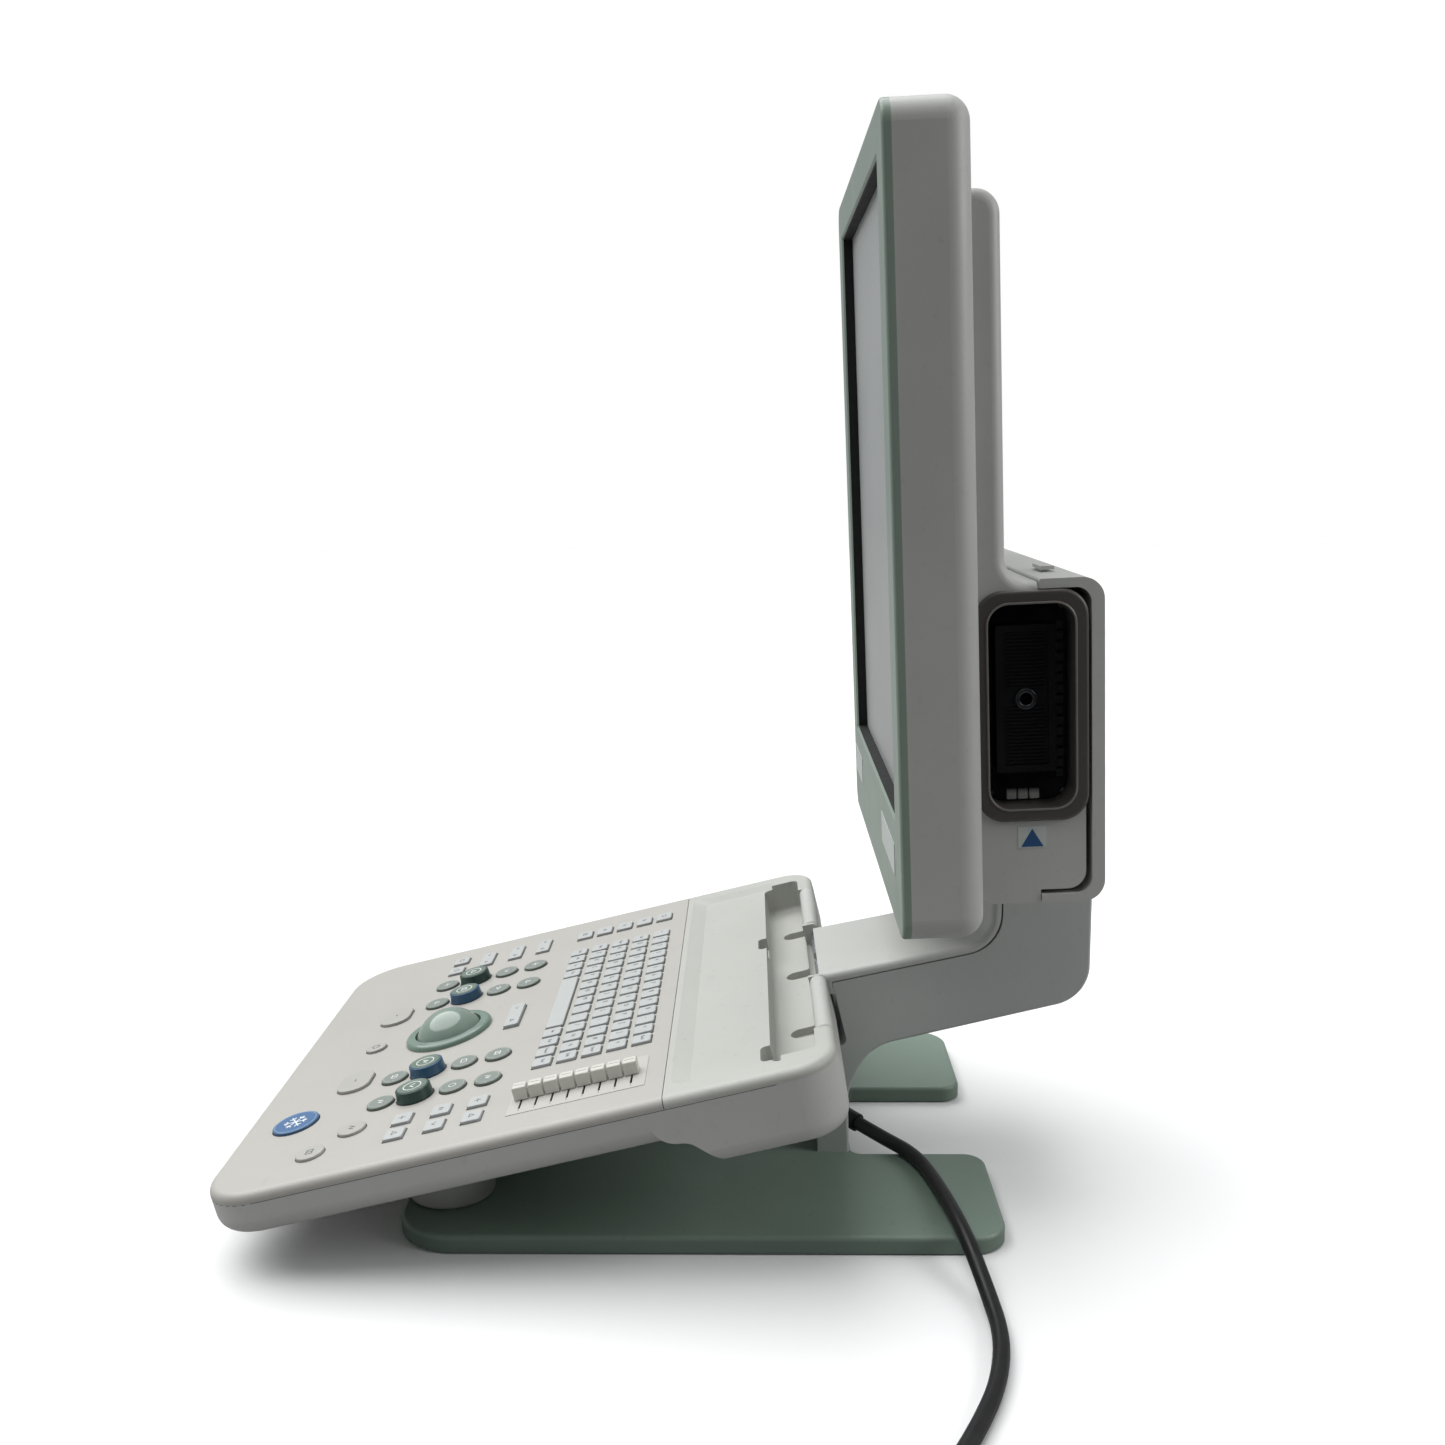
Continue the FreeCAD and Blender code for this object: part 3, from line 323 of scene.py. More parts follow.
def keycap_painted_flank_shade(name, top, side, rough=0.42):
    """Key plastic with painted shade: its sides are coloured darker than its face by how far they turn from
    the panel's normal.
    """
    s = Shader(name)
    geometry = s.tree.nodes.new("ShaderNodeNewGeometry")
    facing = s.tree.nodes.new("ShaderNodeVectorMath")
    facing.operation = "DOT_PRODUCT"
    facing.inputs[1].default_value = PANEL_N
    s.link(geometry.outputs["Normal"], facing.inputs[0])
    # painted shade: colour runs from the top colour to the darker side colour as the normal turns away from
    # the panel's face
    painted_flank_shade = s.ramp(facing.outputs["Value"], ((0.35, linear(side)), (0.85, linear(top))))
    s.link(s.mix(s.ramp(s.noise(60.0), ((0.35, (0, 0, 0, 1)), (0.75, (0.16, 0.16, 0.16, 1)))),
                 painted_flank_shade, shade(linear(top), 0.86)), s.surface.inputs["Base Color"])
    s.link(s.span(s.noise(90.0), rough - 0.05, rough + 0.07), s.surface.inputs["Roughness"])
    s.bump(s.noise(2200.0, 1.0), 0.2, 0.00003)
    return s.material


def glossy(name, colour, rough, coat):
    """Polished moulding with faint wipe marks."""
    s = Shader(name)
    base = linear(colour)
    s.link(s.ramp(s.noise(24.0, 3.0), ((0.3, shade(base, 0.93)), (0.7, shade(base, 1.05)))),
           s.surface.inputs["Base Color"])
    s.link(s.span(s.noise(45.0, 5.0, (1, 3, 1)), rough - 0.03, rough + 0.08), s.surface.inputs["Roughness"])
    s.set(Coat_Weight=coat, Coat_Roughness=0.08)
    return s.material


def low_white(name, low, high, level):
    """Pale parts below the given height in metres and dark ones above it."""
    s = Shader(name)
    parts = s.tree.nodes.new("ShaderNodeSeparateXYZ")
    s.link(s.place, parts.inputs[0])
    tone = s.ramp(parts.outputs["Z"], ((level - 0.001, linear(low)), (level + 0.001, linear(high))))
    s.link(tone, s.surface.inputs["Base Color"])
    s.link(s.span(s.noise(120.0), 0.34, 0.48), s.surface.inputs["Roughness"])
    return s.material


def metal(name, colour, rough, stretch=(1, 1, 30)):
    """Machined or brushed metal."""
    s = Shader(name)
    base = linear(colour)
    lines = s.noise(160.0, 3.0, stretch)
    s.link(s.ramp(lines, ((0.3, shade(base, 0.85)), (0.7, shade(base, 1.05)))),
           s.surface.inputs["Base Color"])
    s.link(s.span(lines, rough - 0.08, rough + 0.1), s.surface.inputs["Roughness"])
    s.bump(lines, 0.15, 0.00003)
    s.set(Metallic=1.0)
    return s.material


def rubber(name, colour, rough):
    """Matt rubber, also for the lead's jacket."""
    s = Shader(name)
    base = linear(colour)
    s.link(s.ramp(s.noise(70.0, 4.0), ((0.3, shade(base, 0.8)), (0.72, shade(base, 1.35)))),
           s.surface.inputs["Base Color"])
    s.link(s.span(s.noise(120.0, 3.0), rough - 0.1, rough + 0.12), s.surface.inputs["Roughness"])
    s.bump(s.noise(900.0, 2.0), 0.3, 0.00005)
    return s.material


def circuit_board(name, dark, light):
    """Solder mask with faint tracks."""
    s = Shader(name)
    waves = s.tree.nodes.new("ShaderNodeTexWave")
    waves.inputs["Scale"].default_value = 60.0
    waves.inputs["Distortion"].default_value = 12.0
    s.link(s.place, waves.inputs["Vector"])
    s.link(s.ramp(waves.outputs["Fac"], ((0.45, linear(dark)), (0.55, linear(light)))),
           s.surface.inputs["Base Color"])
    s.link(s.span(waves.outputs["Fac"], 0.3, 0.45), s.surface.inputs["Roughness"])
    return s.material


def screen_film_painted_reflection(name):
    """Switched-off panel behind its anti-glare film; its pale grey colour and soft blotches are painted
    reflection of a pale room over the dark film.
    """
    s = Shader(name)
    painted_reflection_cloud = s.noise(3.0, 2.0, (1, 1, 2))
    # painted reflection: pale grey blotches stand in for the room seen in the dark film
    s.link(s.ramp(painted_reflection_cloud, ((0.3, linear("A4A7A6")), (0.7, linear("B4B7B6")))), s.surface.inputs["Base Color"])
    s.link(s.span(s.noise(400.0, 2.0), 0.28, 0.4), s.surface.inputs["Roughness"])
    s.bump(s.noise(3000.0, 1.0), 0.12, 0.00002)
    return s.material


M = {
    "white": moulded("housing white", "BFC0BC", 0.46, grime=0.25),
    # the arm shell is the housing white darkened a little: painted shade for the arm under the monitor
    "arm": moulded("arm grey painted shade", "B6BAB7", 0.5, grime=0.2),
    "green": moulded("base green", "7B8D81", 0.42, variation=0.06, grime=0.35),
    "sage": moulded("bezel sage", "8C9C90", 0.36, variation=0.04),
    "panel": moulded("panel white", "B2B0AA", 0.44, variation=0.03, grime=0.15),
    "tray": moulded("tray white", "B5B6B0", 0.48, variation=0.04, grime=0.3),
    # the second colour given to each key material below is painted shade on its sides
    "key": keycap_painted_flank_shade("key light", "B7BAB9", "A3A7A8"),
    "white_key": keycap_painted_flank_shade("key white", "AFAEA8", "A8A7A2", 0.4),
    "button": keycap_painted_flank_shade("button sage", "848C86", "5E6760", 0.34),
    "button_rim": moulded("button rim", "9AA29C", 0.35, 0.00002),
    "freeze": keycap_painted_flank_shade("freeze blue", "416A98", "2F5273", 0.3),
    "freeze_rim": moulded("freeze rim", "7393B2", 0.32, 0.00002),
    "blue": moulded("knob blue", "2C5372", 0.32, 0.00003),
    "dark_green": moulded("knob green", "27423B", 0.34, 0.00003),
    "knob_top": moulded("knob top", "66786D", 0.34, 0.00003),
    "ball": glossy("ball sage", "82958A", 0.14, 0.6),
    "ring": glossy("ring sage", "6F8579", 0.26, 0.3),
    "slider": moulded("slider white", "D0CEC7", 0.42, 0.00004),
    "scale": moulded("scale plate", "BCBAB4", 0.4, 0.00003),
    "taupe": moulded("socket taupe", "4E4A48", 0.4, 0.00004, grime=0.3),
    # painted highlight: lighter taupe along the socket's inner lip
    "taupe_lip_highlight": moulded("socket lip highlight", "75706C", 0.34, 0.00003),
    "black": moulded("moulded black", "0B0C0F", 0.38, 0.00004),
    "contact": moulded("contact rows", "17181B", 0.3, 0.00002),
    "lock_ring": moulded("lock ring", "26292E", 0.26, 0.00002),
    "socket_parts": low_white("socket parts", "F4F4F0", "3A3B3D", 0.288),
    "ink": moulded("grey ink", "46505A", 0.5, 0.00001),
    "pale_ink": moulded("pale ink", "E6EAE8", 0.5, 0.00001),
    "blue_ink": moulded("blue ink", "2B5585", 0.45, 0.00001),
    "plate": moulded("label plate", "C6CDC9", 0.36, 0.00002),
    "steel": metal("steel", "B5B8BA", 0.28),
    "dark_steel": metal("dark steel", "5E6062", 0.36),
    "aluminium": metal("cast aluminium", "C3C6C8", 0.42, (1, 1, 1)),
    "brass": metal("pin brass", "C8A456", 0.22),
    "rubber": rubber("pad rubber", "1E1F1F", 0.7),
    "gasket": rubber("gasket black", "07080A", 0.7),
    "cord": rubber("lead jacket", "141415", 0.42),
    "board": circuit_board("solder mask", "1C4F37", "28654A"),
    "dark_board": circuit_board("dark solder mask", "101113", "18191B"),
    # painted reflection of a pale room on the switched-off panel
    "screen": screen_film_painted_reflection("screen film painted reflection"),
    "battery": moulded("battery case", "35383B", 0.5),
    # painted shadow: dark strip standing in for the shade in the keyboard's parting line
    "seam": moulded("shadow seam", "5C605D", 0.7, 0.00001),
}

CAPS = ["tgc_cap_%d" % i for i in range(1, 9)]
NODE_MATERIALS = {
    "white": ["arm_top_cover", "rear_shell", "rear_housing", "rear_cover", "cover_latches", "keyboard_bottom",
              "rim_blocks"],
    "arm": ["arm_shell"],
    "green": ["base_plate"],
    "sage": ["front_bezel"],
    "panel": ["key_panel"],
    "tray": ["tray_cover", "keyboard_feet"],
    "socket_parts": ["socket_parts"],
    "key": ["typing_keys", "side_keys"],
    "white_key": ["light_keys"],
    "button": ["round_buttons"],
    "freeze": ["freeze_button"],
    "blue": ["knob_blue_left", "knob_blue_right"],
    "dark_green": ["knob_green_left", "knob_green_right"],
    "ball": ["trackball"],
    "ring": ["trackball_ring"],
    "slider": CAPS,
    "scale": ["tgc_plate"],
    "taupe": ["socket_bezel"],
    "black": ["probe_connector", "encoders", "trackball_seat", "slider_bank", "cord_gland"],
    "plate": ["trim_plates"],
    "steel": ["hinge_pins", "stand_screws", "tilt_bracket", "tilt_pin", "housing_screws", "keyboard_screws"],
    "aluminium": ["neck_frame", "hinge_block"],
    "brass": ["plug_pins"],
    "rubber": ["base_pads"],
    "gasket": ["screen_gasket"],
    "cord": ["cord_tube", "cord_coil", "plug_body"],
    "board": ["main_board", "keyboard_board"],
    "dark_board": ["socket_board"],
    "screen": ["lcd_panel"],
    "battery": ["battery_pack"],
}


def paint_nodes():
    for name, nodes in NODE_MATERIALS.items():
        for node in nodes:
            for slot in NODES[node].material_slots:
                slot.material = M[name]


# ---- camera, light, floor ----
def add_camera():
    forward = Vector((-math.cos(YAW), -math.sin(YAW), 0))
    right = Vector((-math.sin(YAW), math.cos(YAW), 0))
    ahead = forward * math.cos(PITCH) - Vector((0, 0, 1)) * math.sin(PITCH)
    over = Vector((0, 0, 1)) * math.cos(PITCH) + forward * math.sin(PITCH)
    across = right * math.cos(ROLL) + over * math.sin(ROLL)
    top = over * math.cos(ROLL) - right * math.sin(ROLL)
    data = bpy.data.cameras.new("camera")
    data.lens = LENS
    data.sensor_width = 36.0
    data.clip_start = 0.02
    camera = bpy.data.objects.new("camera", data)
    camera.matrix_world = Matrix.Translation(CAMERA_AT) @ Matrix((across, top, -ahead)).transposed().to_4x4()
    bpy.context.scene.collection.objects.link(camera)
    bpy.context.scene.camera = camera


def add_light(name, at, aim, size, power):
    data = bpy.data.lights.new(name, "AREA")
    data.shape = "RECTANGLE"
    data.size, data.size_y = size
    data.energy = power
    light = bpy.data.objects.new(name, data)
    light.location = at
    light.rotation_euler = (Vector(aim) - Vector(at)).to_track_quat("-Z", "Y").to_euler()
    bpy.context.scene.collection.objects.link(light)


def add_sky(name, aim, spread, strength):
    """Very soft light from far away, so that the floor is evenly lit."""
    data = bpy.data.lights.new(name, "SUN")
    data.angle = math.radians(spread)
    data.energy = strength
    light = bpy.data.objects.new(name, data)
    light.rotation_euler = Vector(aim).to_track_quat("-Z", "Y").to_euler()
    bpy.context.scene.collection.objects.link(light)


def add_world():
    """Pale backdrop; its light is dimmer from the probe side and the rear."""
    world = bpy.data.worlds.new("studio")
    world.use_nodes = True
    tree = world.node_tree
    seen = tree.nodes["Background"]
    seen.inputs["Color"].default_value = (1, 1, 1, 1)
    seen.inputs["Strength"].default_value = 1.0
    lit = tree.nodes.new("ShaderNodeBackground")
    lit.inputs["Color"].default_value = (0.96, 0.98, 1.0, 1)
    place = tree.nodes.new("ShaderNodeTexCoord").outputs["Generated"]
    bright = tree.nodes.new("ShaderNodeVectorMath")
    bright.operation = "DOT_PRODUCT"
    bright.inputs[1].default_value = (-0.45, -0.55, 0.7)
    tree.links.new(place, bright.inputs[0])
    level = tree.nodes.new("ShaderNodeMapRange")
    level.inputs["From Min"].default_value = -0.5
    level.inputs["From Max"].default_value = 1.0
    level.inputs["To Min"].default_value = 0.01
    level.inputs["To Max"].default_value = 0.5
    tree.links.new(bright.outputs["Value"], level.inputs["Value"])
    tree.links.new(level.outputs["Result"], lit.inputs["Strength"])
    path = tree.nodes.new("ShaderNodeLightPath")
    mix = tree.nodes.new("ShaderNodeMixShader")
    tree.links.new(path.outputs["Is Camera Ray"], mix.inputs[0])
    tree.links.new(lit.outputs[0], mix.inputs[1])
    tree.links.new(seen.outputs[0], mix.inputs[2])
    tree.links.new(mix.outputs[0], tree.nodes["World Output"].inputs["Surface"])
    bpy.context.scene.world = world


def add_studio():
    add_sky("sky", (0.28, 0.40, -1.0), 75, 3.3)
    add_light("rear", (0.5, 1.7, 1.1), (0.0, 0.2, 0.45), (0.9, 0.9), 14)
    add_world()
    bpy.context.scene.view_settings.view_transform = "Standard"


def add_floor():
    """Pale floor that throws little light back on to the probe side and the underside."""
    bm = bmesh.new()
    far = FLOOR_REACH
    corners = ((-far, -far), (FLOOR_EDGE, -far), (FLOOR_EDGE, far), (-far, far))
    bm.faces.new([bm.verts.new((x, y, -0.0002)) for x, y in corners])
    mesh = mesh_from(bm, "floor")
    floor = bpy.data.objects.new("floor", mesh)
    bpy.context.scene.collection.objects.link(floor)
    s = Shader("studio floor")
    pale = s.ramp(s.noise(2.0, 2.0), ((0.3, linear("F3F4F4")), (0.7, linear("F8F8F8"))))
    path = s.tree.nodes.new("ShaderNodeLightPath")
    s.link(s.mix(path.outputs["Is Camera Ray"], shade(linear("F6F6F6"), FLOOR_BOUNCE), pale),
           s.surface.inputs["Base Color"])
    s.link(s.span(s.noise(6.0), 0.75, 0.85), s.surface.inputs["Roughness"])
    mesh.materials.append(s.material)


# ---- power lead ----
def coil_points():
    """Turns of the coil: inwards along the floor, then outwards on top of themselves."""
    outer, inner = COIL_TRACKS
    low, high = CORD_D / 2 + 0.0001, CORD_D * 1.5 + 0.0001
    per_turn = 16               # route points in each turn
    level = 3                   # turns on each level
    climb = 0.35                # part of a turn that leads up to the second level
    turns = 2 * level + climb
    count = round(turns * per_turn)
    points = []
    for i in range(1, count + 1):
        t = turns * i / count
        if t < level:
            r, z = outer + (inner - outer) * t / level, low
        elif t < level + climb:
            r, z = inner, low + (high - low) * (t - level) / climb
        else:
            r, z = inner + (outer - inner) * (t - level - climb) / level, high
        a = COIL_START + 2 * math.pi * t
        points.append(COIL_C + Vector((r * math.cos(a), r * math.sin(a), z)))
    return points


def plug_start():
    low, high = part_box("plug_body")
    return Vector(((low[0] + high[0]) / 2, low[1], 0.0113))


def add_lead():
    end = plug_start()
    points = [Vector(p) for p in CORD_ROUTE] + coil_points()
    points += [end - Vector((0, 0.014, -0.0022)), end + Vector((0, 0.003, 0))]
    curve = bpy.data.curves.new("power_lead", "CURVE")
    curve.dimensions = "3D"
    curve.bevel_depth = CORD_D / 2
    curve.bevel_resolution = 5
    curve.resolution_u = 6
    curve.use_fill_caps = True
    spline = curve.splines.new("NURBS")
    spline.points.add(len(points) - 1)
    for point, place in zip(spline.points, points):
        point.co = (*place, 1.0)
    spline.order_u = 3
    spline.use_endpoint_u = True
    lead = bpy.data.objects.new("power_lead", curve)
    bpy.context.scene.collection.objects.link(lead)
    curve.materials.append(M["cord"])
    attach(lead, "stand")
    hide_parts("cord_tube", "cord_coil")
    relief = add_strain_relief()
    sleeve = add_plug_sleeve(end)


def add_strain_relief():
    """Tapered, grooved sleeve where the lead leaves the neck."""
    start = Vector(CORD_ROUTE[0])
    along = (Vector(CORD_ROUTE[1]) - start).normalized()
    bm = bmesh.new()
    rings, first, pitch, taper, groove = 7, -0.003, 0.0031, 0.00024, 0.0007
    profile = [(0.0, -0.0075), (0.0074, -0.0075), (0.0074, first)]
    for i in range(rings):
        h = first + i * pitch
        r = 0.0068 - i * taper
        profile += [(r, h), (r, h + 0.0019), (r - groove, h + 0.0022), (r - groove, h + 0.0030)]
    profile += [(0.0051, first + rings * pitch), (0.0, first + rings * pitch)]
    add_turned(bm, start, along, X, profile, 36)
    return finish_piece("strain_relief", mesh_from(bm, "strain_relief"), M["black"], "stand", smooth=False)


def add_plug_sleeve(start):
    """Ribbed, tapering tail of the plug."""
    bm = bmesh.new()
    rings, first, pitch, flare, groove = 7, -0.004, 0.0035, 0.0004, 0.0008
    profile = [(0.0, -0.006), (0.0056, -0.006)]
    for i in range(rings):
        h = first + i * pitch
        r = 0.0060 + i * flare
        profile += [(r, h), (r, h + 0.0021), (r - groove, h + 0.0024), (r - groove, h + 0.0033)]
    profile += [(0.009, 0.0215), (0.009, 0.0235), (0.0, 0.0235)]
    add_turned(bm, start, Vector((0, 1, 0)), X, profile, 36)
    return finish_piece("plug_tail", mesh_from(bm, "plug_tail"), M["cord"], "stand", smooth=False)


# ---- keyboard markings ----
ROW_PITCH = 0.0168                       # of the typing keys
LETTER_SIZE, WORD_SIZE = 0.0052, 0.0034
KNOBS = ("knob_green_left", "knob_blue_left", "knob_blue_right", "knob_green_right")
LEGENDS = (
    "Ctrl Alt Fn Esc Ins Del Home End",
    "Shift Z X C V B N M , . / Up Pg Shift",
    "Caps A S D F G H J K L ; ' # Enter",
    "Tab Q W E R T Y U I O P [ ] +",
    "~ 1 2 3 4 5 6 7 8 9 0 - = Back",
)


def letter_mesh(text, size):
    """Vertices and faces of a flat word, centred on zero."""
    curve = bpy.data.curves.new("word", "FONT")
    curve.body = text
    curve.size = size
    curve.align_x = "CENTER"
    curve.align_y = "CENTER"
    curve.extrude = 0.00003
    curve.resolution_u = 2
    word = bpy.data.objects.new("word", curve)
    mesh = bpy.data.meshes.new_from_object(word)
    found = ([v.co.copy() for v in mesh.vertices], [tuple(f.vertices) for f in mesh.polygons])
    bpy.data.objects.remove(word)
    bpy.data.meshes.remove(mesh)
    bpy.data.curves.remove(curve)
    return found


def add_word(bm, text, size, place):
    """Word set on a surface by place."""
    points, faces = letter_mesh(text, size)
    verts = [bm.verts.new(place(p)) for p in points]
    for face in faces:
        bm.faces.new([verts[i] for i in face])


def panel_word(x, s, n):
    return lambda p: on_panel(x + p.x, s + p.y, n + p.z)


def add_letters():
    """Generic legends on the typing keys, row by row from the space bar."""
    tops = [top for top in key_tops("typing_keys") if top[1] < 0.03]
    rows = {}
    for top in tops:
        rows.setdefault(round(top[0].y / ROW_PITCH), []).append(top)
    bm = bmesh.new()
    for words, row in zip(LEGENDS, sorted(rows)):
        for word, (centre, width, _) in zip(words.split(), sorted(rows[row], key=lambda t: t[0].x)):
            size = LETTER_SIZE if len(word) == 1 else WORD_SIZE
            shift = -width * 0.16 if len(word) == 1 else 0
            add_word(bm, word, size, panel_word(centre.x + shift, centre.y + 0.0008, centre.z + 0.00003))
    finish_piece("key_letters", mesh_from(bm, "key_letters"), M["ink"], "typing_keys", smooth=False)


def icon_strokes(kind):
    """Strokes of a small generic symbol, inside a square from -1 to 1."""
    ring = round_outline(0.8, 12)
    closed = list(zip(ring, ring[1:] + ring[:1]))
    square = [(-0.8, -0.6), (0.8, -0.6), (0.8, 0.6), (-0.8, 0.6)]
    frame_lines = list(zip(square, square[1:] + square[:1]))
    kinds = (
        frame_lines,
        closed,
        [((-0.8, 0), (0.8, 0)), ((0, -0.8), (0, 0.8))],
        [((-0.8, -0.5), (0, 0.7)), ((0, 0.7), (0.8, -0.5)), ((0.8, -0.5), (-0.8, -0.5))],
        frame_lines + [((0, -0.6), (0, 0.6))],
        [((-0.8, -0.6), (-0.2, 0.6)), ((-0.2, 0.6), (0.3, -0.4)), ((0.3, -0.4), (0.8, 0.5))],
        [((-0.8, 0.4), (0, -0.5)), ((0, -0.5), (0.8, 0.4))],
        [((-0.8, -0.6), (-0.8, 0.6)), ((-0.8, 0.6), (0.7, 0)), ((0.7, 0), (-0.8, -0.6))],
    )
    return kinds[kind % len(kinds)]


def add_icon(bm, centre, size, kind, width):
    lift = PANEL_N * 0.00006
    for a, b in icon_strokes(kind):
        add_bar(bm, lambda x, s: on_panel(centre.x + x, centre.y + s, centre.z), Vector(a) * size,
                Vector(b) * size, width, lift)


def add_icons(node, material, size, width=0.00045, skip=0):
    """A symbol on each key of a node: two on a long key, and a short bar on a wide, deep one."""
    wide, deep = 0.026, 0.014
    bm = bmesh.new()
    for kind, (centre, across, depth) in enumerate(key_tops(node)):
        if across > wide and depth < deep:
            for side, symbol in ((-1, 6), (1, 3)):
                place = centre + Vector((side * across * 0.3, 0, 0))
                add_icon(bm, place, size * 0.8, symbol, width)
        elif across > wide:
            add_bar(bm, lambda x, s: on_panel(centre.x + x, centre.y + s, centre.z),
                    (-0.0012, 0), (0.0012, 0), width * 1.4, PANEL_N * 0.00006)
        else:
            add_icon(bm, centre, size, kind + skip, width)
    finish_piece(node + "_marks", mesh_from(bm, node + "_marks"), M[material], node, smooth=False)


def add_button_rims():
    """Raised rim round each sage button."""
    bm = bmesh.new()
    for centre, across, _ in key_tops("round_buttons"):
        r = across / 2
        place = on_panel(centre.x, centre.y, centre.z)
        profile = [(r - 0.0011, -0.0001), (r - 0.0009, 0.00022), (r - 0.0002, 0.00022), (r - 0.0001, -0.0001),
                   (r - 0.0011, -0.0001)]
        add_turned(bm, place, PANEL_N, X, profile, 40)
    finish_piece("button_rims", mesh_from(bm, "button_rims"), M["button_rim"], "round_buttons")


def knob_face(node):
    """Centre and radius of a round control's flat top."""
    top = max(key_tops(node), key=lambda t: t[1])
    return top[0], top[1] / 2


def add_knob_tops():
    """Sage disc with a pale symbol on each knob."""
    for kind, node in enumerate(KNOBS):
        centre, r = knob_face(node)
        r -= 0.0004
        bm = bmesh.new()
        place = on_panel(centre.x, centre.y, centre.z)
        profile = [(0, -0.0002), (r, -0.0002), (r, 0.0002), (r - 0.0004, 0.00042), (r - 0.0012, 0.0002),
                   (0, 0.0002)]
        add_turned(bm, place, PANEL_N, X, profile, 56)
        finish_piece(node + "_top", mesh_from(bm, node + "_top"), M["knob_top"], node)
        bm = bmesh.new()
        raised = centre + Vector((0, 0, 0.0002))
        add_icon(bm, raised, 0.0030, kind + 3, 0.0007)
        place = lambda x, s: on_panel(raised.x + x, raised.y + s, raised.z)
        add_ribbon(bm, round_outline(0.0062, 28), 0.0006, place, PANEL_N * 0.00006)
        finish_piece(node + "_mark", mesh_from(bm, node + "_mark"), M["pale_ink"], node, smooth=False)


def add_knob_shadows():
    """Painted shadow: a black ring laid on the panel round each knob's foot."""
    bm = bmesh.new()
    profile = [(0.0046, -0.0001), (0.0046, 0.00012), (0.0127, 0.00012), (0.0130, -0.0001), (0.0046, -0.0001)]
    for node in KNOBS:
        centre = knob_face(node)[0]
        add_turned(bm, on_panel(centre.x, centre.y, PANEL_TOP), PANEL_N, X, profile, 56)
    finish_piece("knob_painted_shadows", mesh_from(bm, "knob_painted_shadows"), M["black"], "keyboard")


def add_snowflake():
    """Six-armed flake on the freeze button, and its paler rim."""
    centre, r = knob_face("freeze_button")
    bm = bmesh.new()
    lift = PANEL_N * 0.00008
    place = lambda x, s: on_panel(centre.x + x, centre.y + s, centre.z)
    for i in range(6):
        a = math.radians(60 * i + 30)
        tip = Vector((math.cos(a), math.sin(a)))
        side = Vector((-tip.y, tip.x))
        add_bar(bm, place, tip * 0.0008, tip * 0.0074, 0.0010, lift)
        for turn in (-1, 1):
            add_bar(bm, place, tip * 0.0046, tip * 0.0064 + side * turn * 0.0019, 0.0009, lift)
    finish_piece("freeze_mark", mesh_from(bm, "freeze_mark"), M["pale_ink"], "freeze_button", smooth=False)
    bm = bmesh.new()
    profile = [(r - 0.0012, -0.0001), (r - 0.001, 0.0002), (r - 0.0003, 0.0002), (r - 0.0001, -0.0001),
               (r - 0.0012, -0.0001)]
    add_turned(bm, place(0, 0), PANEL_N, X, profile, 64)
    finish_piece("freeze_rim", mesh_from(bm, "freeze_rim"), M["freeze_rim"], "freeze_button")


def add_slider_marks():
    """Thin scale lines at both ends of every slot, and the grip line on every cap."""
    bm = bmesh.new()
    for cap in CAPS:
        centre = max(key_tops(cap), key=lambda t: t[1] * t[2])[0]
        place = lambda x, s: on_panel(centre.x + x, centre.y + s, PANEL_TOP + 0.0003)
        for x0, x1 in ((-0.0185, -0.0165), (0.0165, 0.0185)):
            add_bar(bm, place, (x0, 0), (x1, 0), 0.0003, PANEL_N * 0.00005)
        grip = bmesh.new()
        top = lambda x, s: on_panel(centre.x + x, centre.y + s, centre.z)
        add_bar(grip, top, (0, -0.0028), (0, 0.0028), 0.0004, PANEL_N * 0.00005)
        finish_piece(cap + "_mark", mesh_from(grip, cap + "_mark"), M["ink"], cap, smooth=False)
    finish_piece("scale_marks", mesh_from(bm, "scale_marks"), M["ink"], "keyboard", smooth=False)


# ---- painted seam shadow ----
def add_panel_seam_shadow():
    """Painted shadow: a thin dark strip along the parting line round the keyboard, between its panel and its
    bottom shell.
    """
    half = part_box("keyboard_bottom")[1][0]
    front, rear, corner = -0.017, 0.378, 0.038
    proud, thick = 0.00004, 0.0004
    bm = bmesh.new()
    outline = box_outline(-half - proud, half + proud, front - proud, rear, corner, 10)
    add_ribbon(bm, outline, 0.0008, lambda x, s: on_panel(x, s, -thick / 2), PANEL_N * thick)
    finish_piece("keyboard_seam_shadow", mesh_from(bm, "keyboard_seam_shadow"), M["seam"], "keyboard")


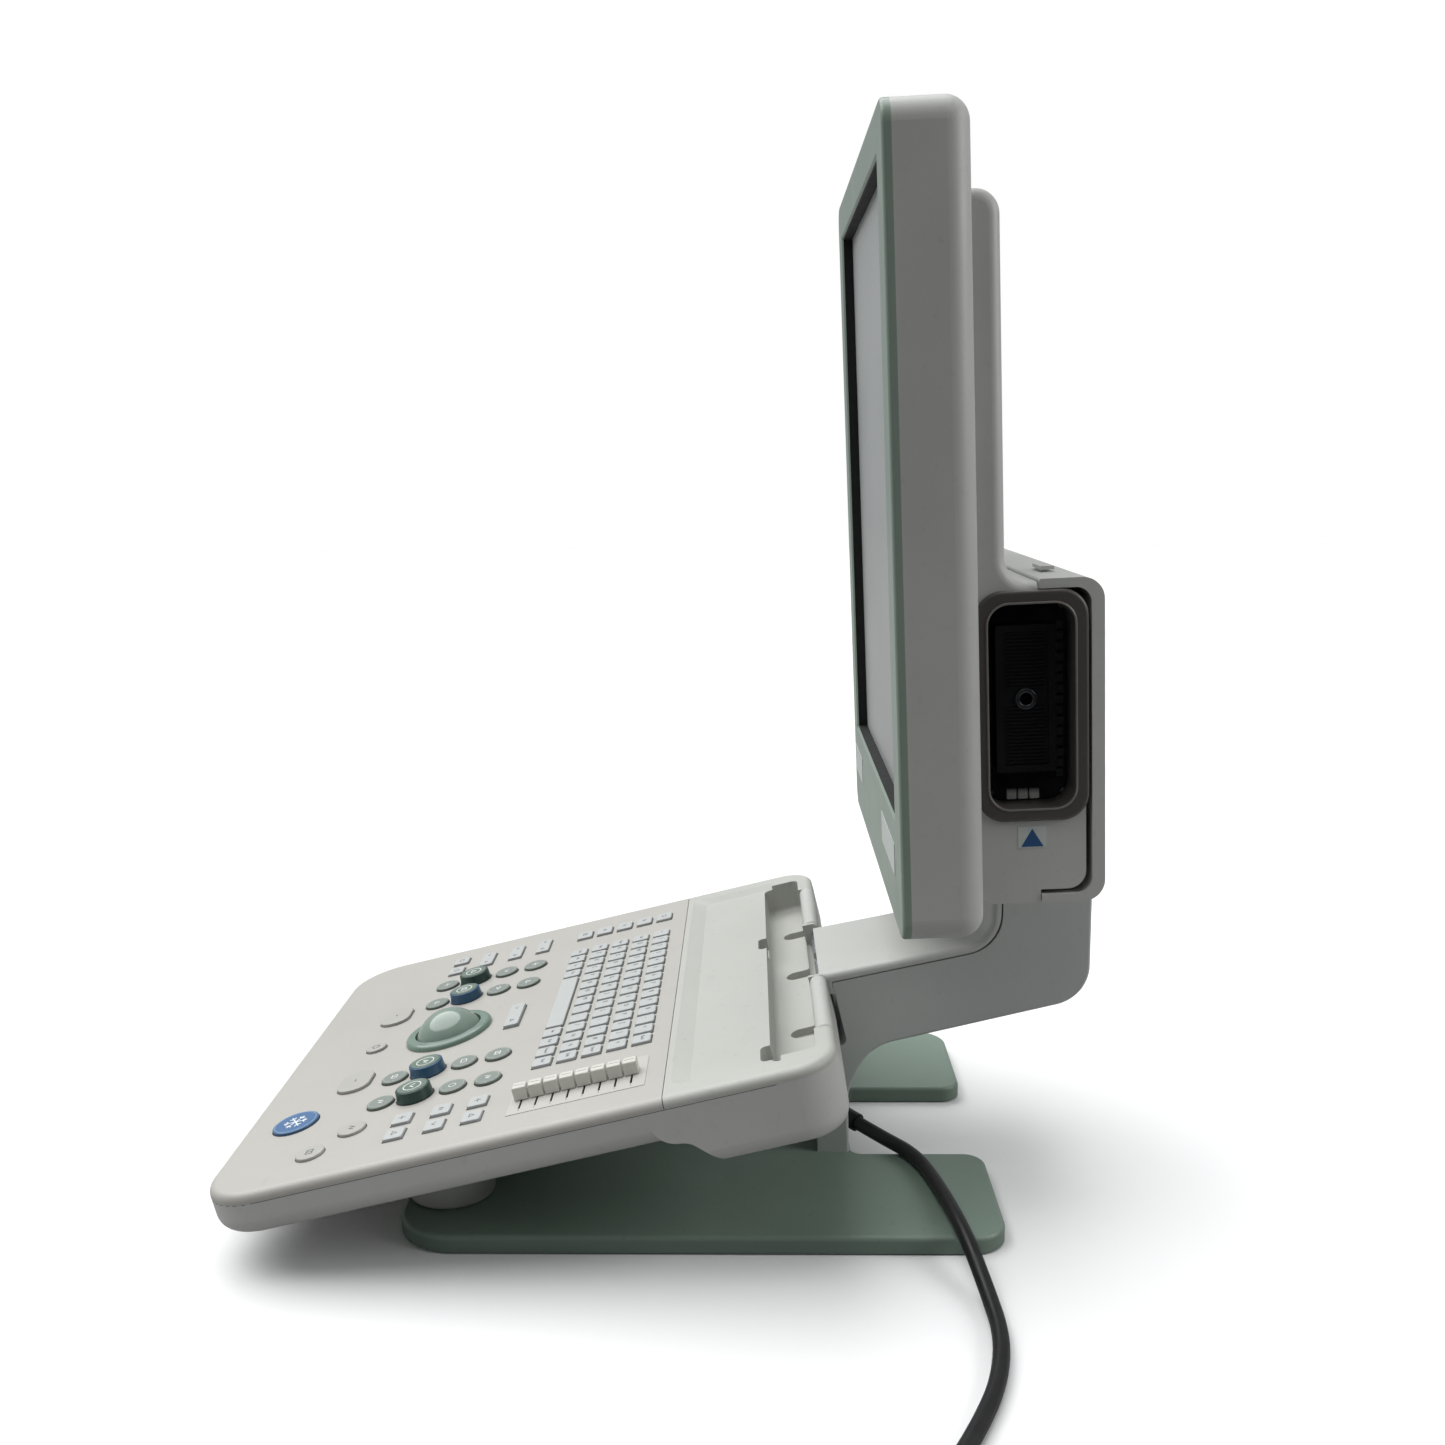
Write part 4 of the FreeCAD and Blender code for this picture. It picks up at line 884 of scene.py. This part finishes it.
# ---- probe socket ----
def add_contacts():
    """Two fields of contact rows in the connector, above and below its locking hole."""
    bm = bmesh.new()
    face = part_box("probe_connector")[1][0] - 0.0012
    lift = X * 0.0007
    for w0 in (0.0925, 0.137):
        for row in range(16):
            w = w0 + row * 0.00215
            add_bar(bm, lambda u, h: on_side(u, h, face), (0.0685, w), (0.0905, w), 0.0009, lift)
    finish_piece("socket_contacts", mesh_from(bm, "socket_contacts"), M["contact"], "monitor", smooth=False)
    bm = bmesh.new()
    profile = [(0.0037, -0.001), (0.0037, 0.0011), (0.0062, 0.0011), (0.0064, 0.0004), (0.0064, -0.001),
               (0.0037, -0.001)]
    add_turned(bm, on_side(0.0795, 0.1302, face), X, UP, profile, 48)
    finish_piece("socket_lock_ring", mesh_from(bm, "socket_lock_ring"), M["lock_ring"], "monitor")


def add_socket_lip():
    """Painted highlight: a lighter band along the inner lip of the socket's rim."""
    bm = bmesh.new()
    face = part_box("socket_bezel")[1][0]
    wide = 0.0013
    outline = box_outline(0.056 - wide, 0.106 + wide, 0.0665 - wide, 0.187 + wide, 0.012 + wide, 8)
    add_ribbon(bm, outline, wide, lambda u, w: on_side(u, w, face - 0.0001), X * 0.0004)
    finish_piece("socket_lip_highlight", mesh_from(bm, "socket_lip_highlight"), M["taupe_lip_highlight"], "monitor")


def add_socket_screws():
    """Screw heads at the corners of the socket's board."""
    bm = bmesh.new()
    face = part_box("socket_board")[1][0]
    for u, w in ((0.0605, 0.0705), (0.1035, 0.0705), (0.0605, 0.1835), (0.1035, 0.1835)):
        add_turned(bm, on_side(u, w, face), X, UP,
                   [(0, 0), (0.0021, 0), (0.0021, 0.0011), (0.0015, 0.0015), (0, 0.0015)], 24)
    finish_piece("socket_board_screws", mesh_from(bm, "socket_board_screws"), M["dark_steel"], "monitor")


def add_side_label():
    """Blue triangle on the small plate under the socket."""
    bm = bmesh.new()
    place = lambda u, w: on_side(0.08075 + u, 0.0479 + w, 0.1503)
    corners = [(-0.0066, -0.0052), (0.0066, -0.0052), (0.0, 0.0058)]
    add_slab(bm, [place(*c) for c in corners], X * 0.00008)
    finish_piece("side_label_mark", mesh_from(bm, "side_label_mark"), M["blue_ink"], "monitor", smooth=False)


add_camera()
add_lead()
add_studio()
add_floor()
paint_nodes()
add_letters()
add_icons("side_keys", "ink", 0.0026)
add_icons("round_buttons", "pale_ink", 0.0030, 0.0006, 2)
add_icons("light_keys", "ink", 0.0032, 0.0006, 1)
add_button_rims()
add_knob_tops()
add_knob_shadows()
add_snowflake()
add_slider_marks()
add_panel_seam_shadow()
add_contacts()
add_socket_lip()
add_socket_screws()
add_side_label()
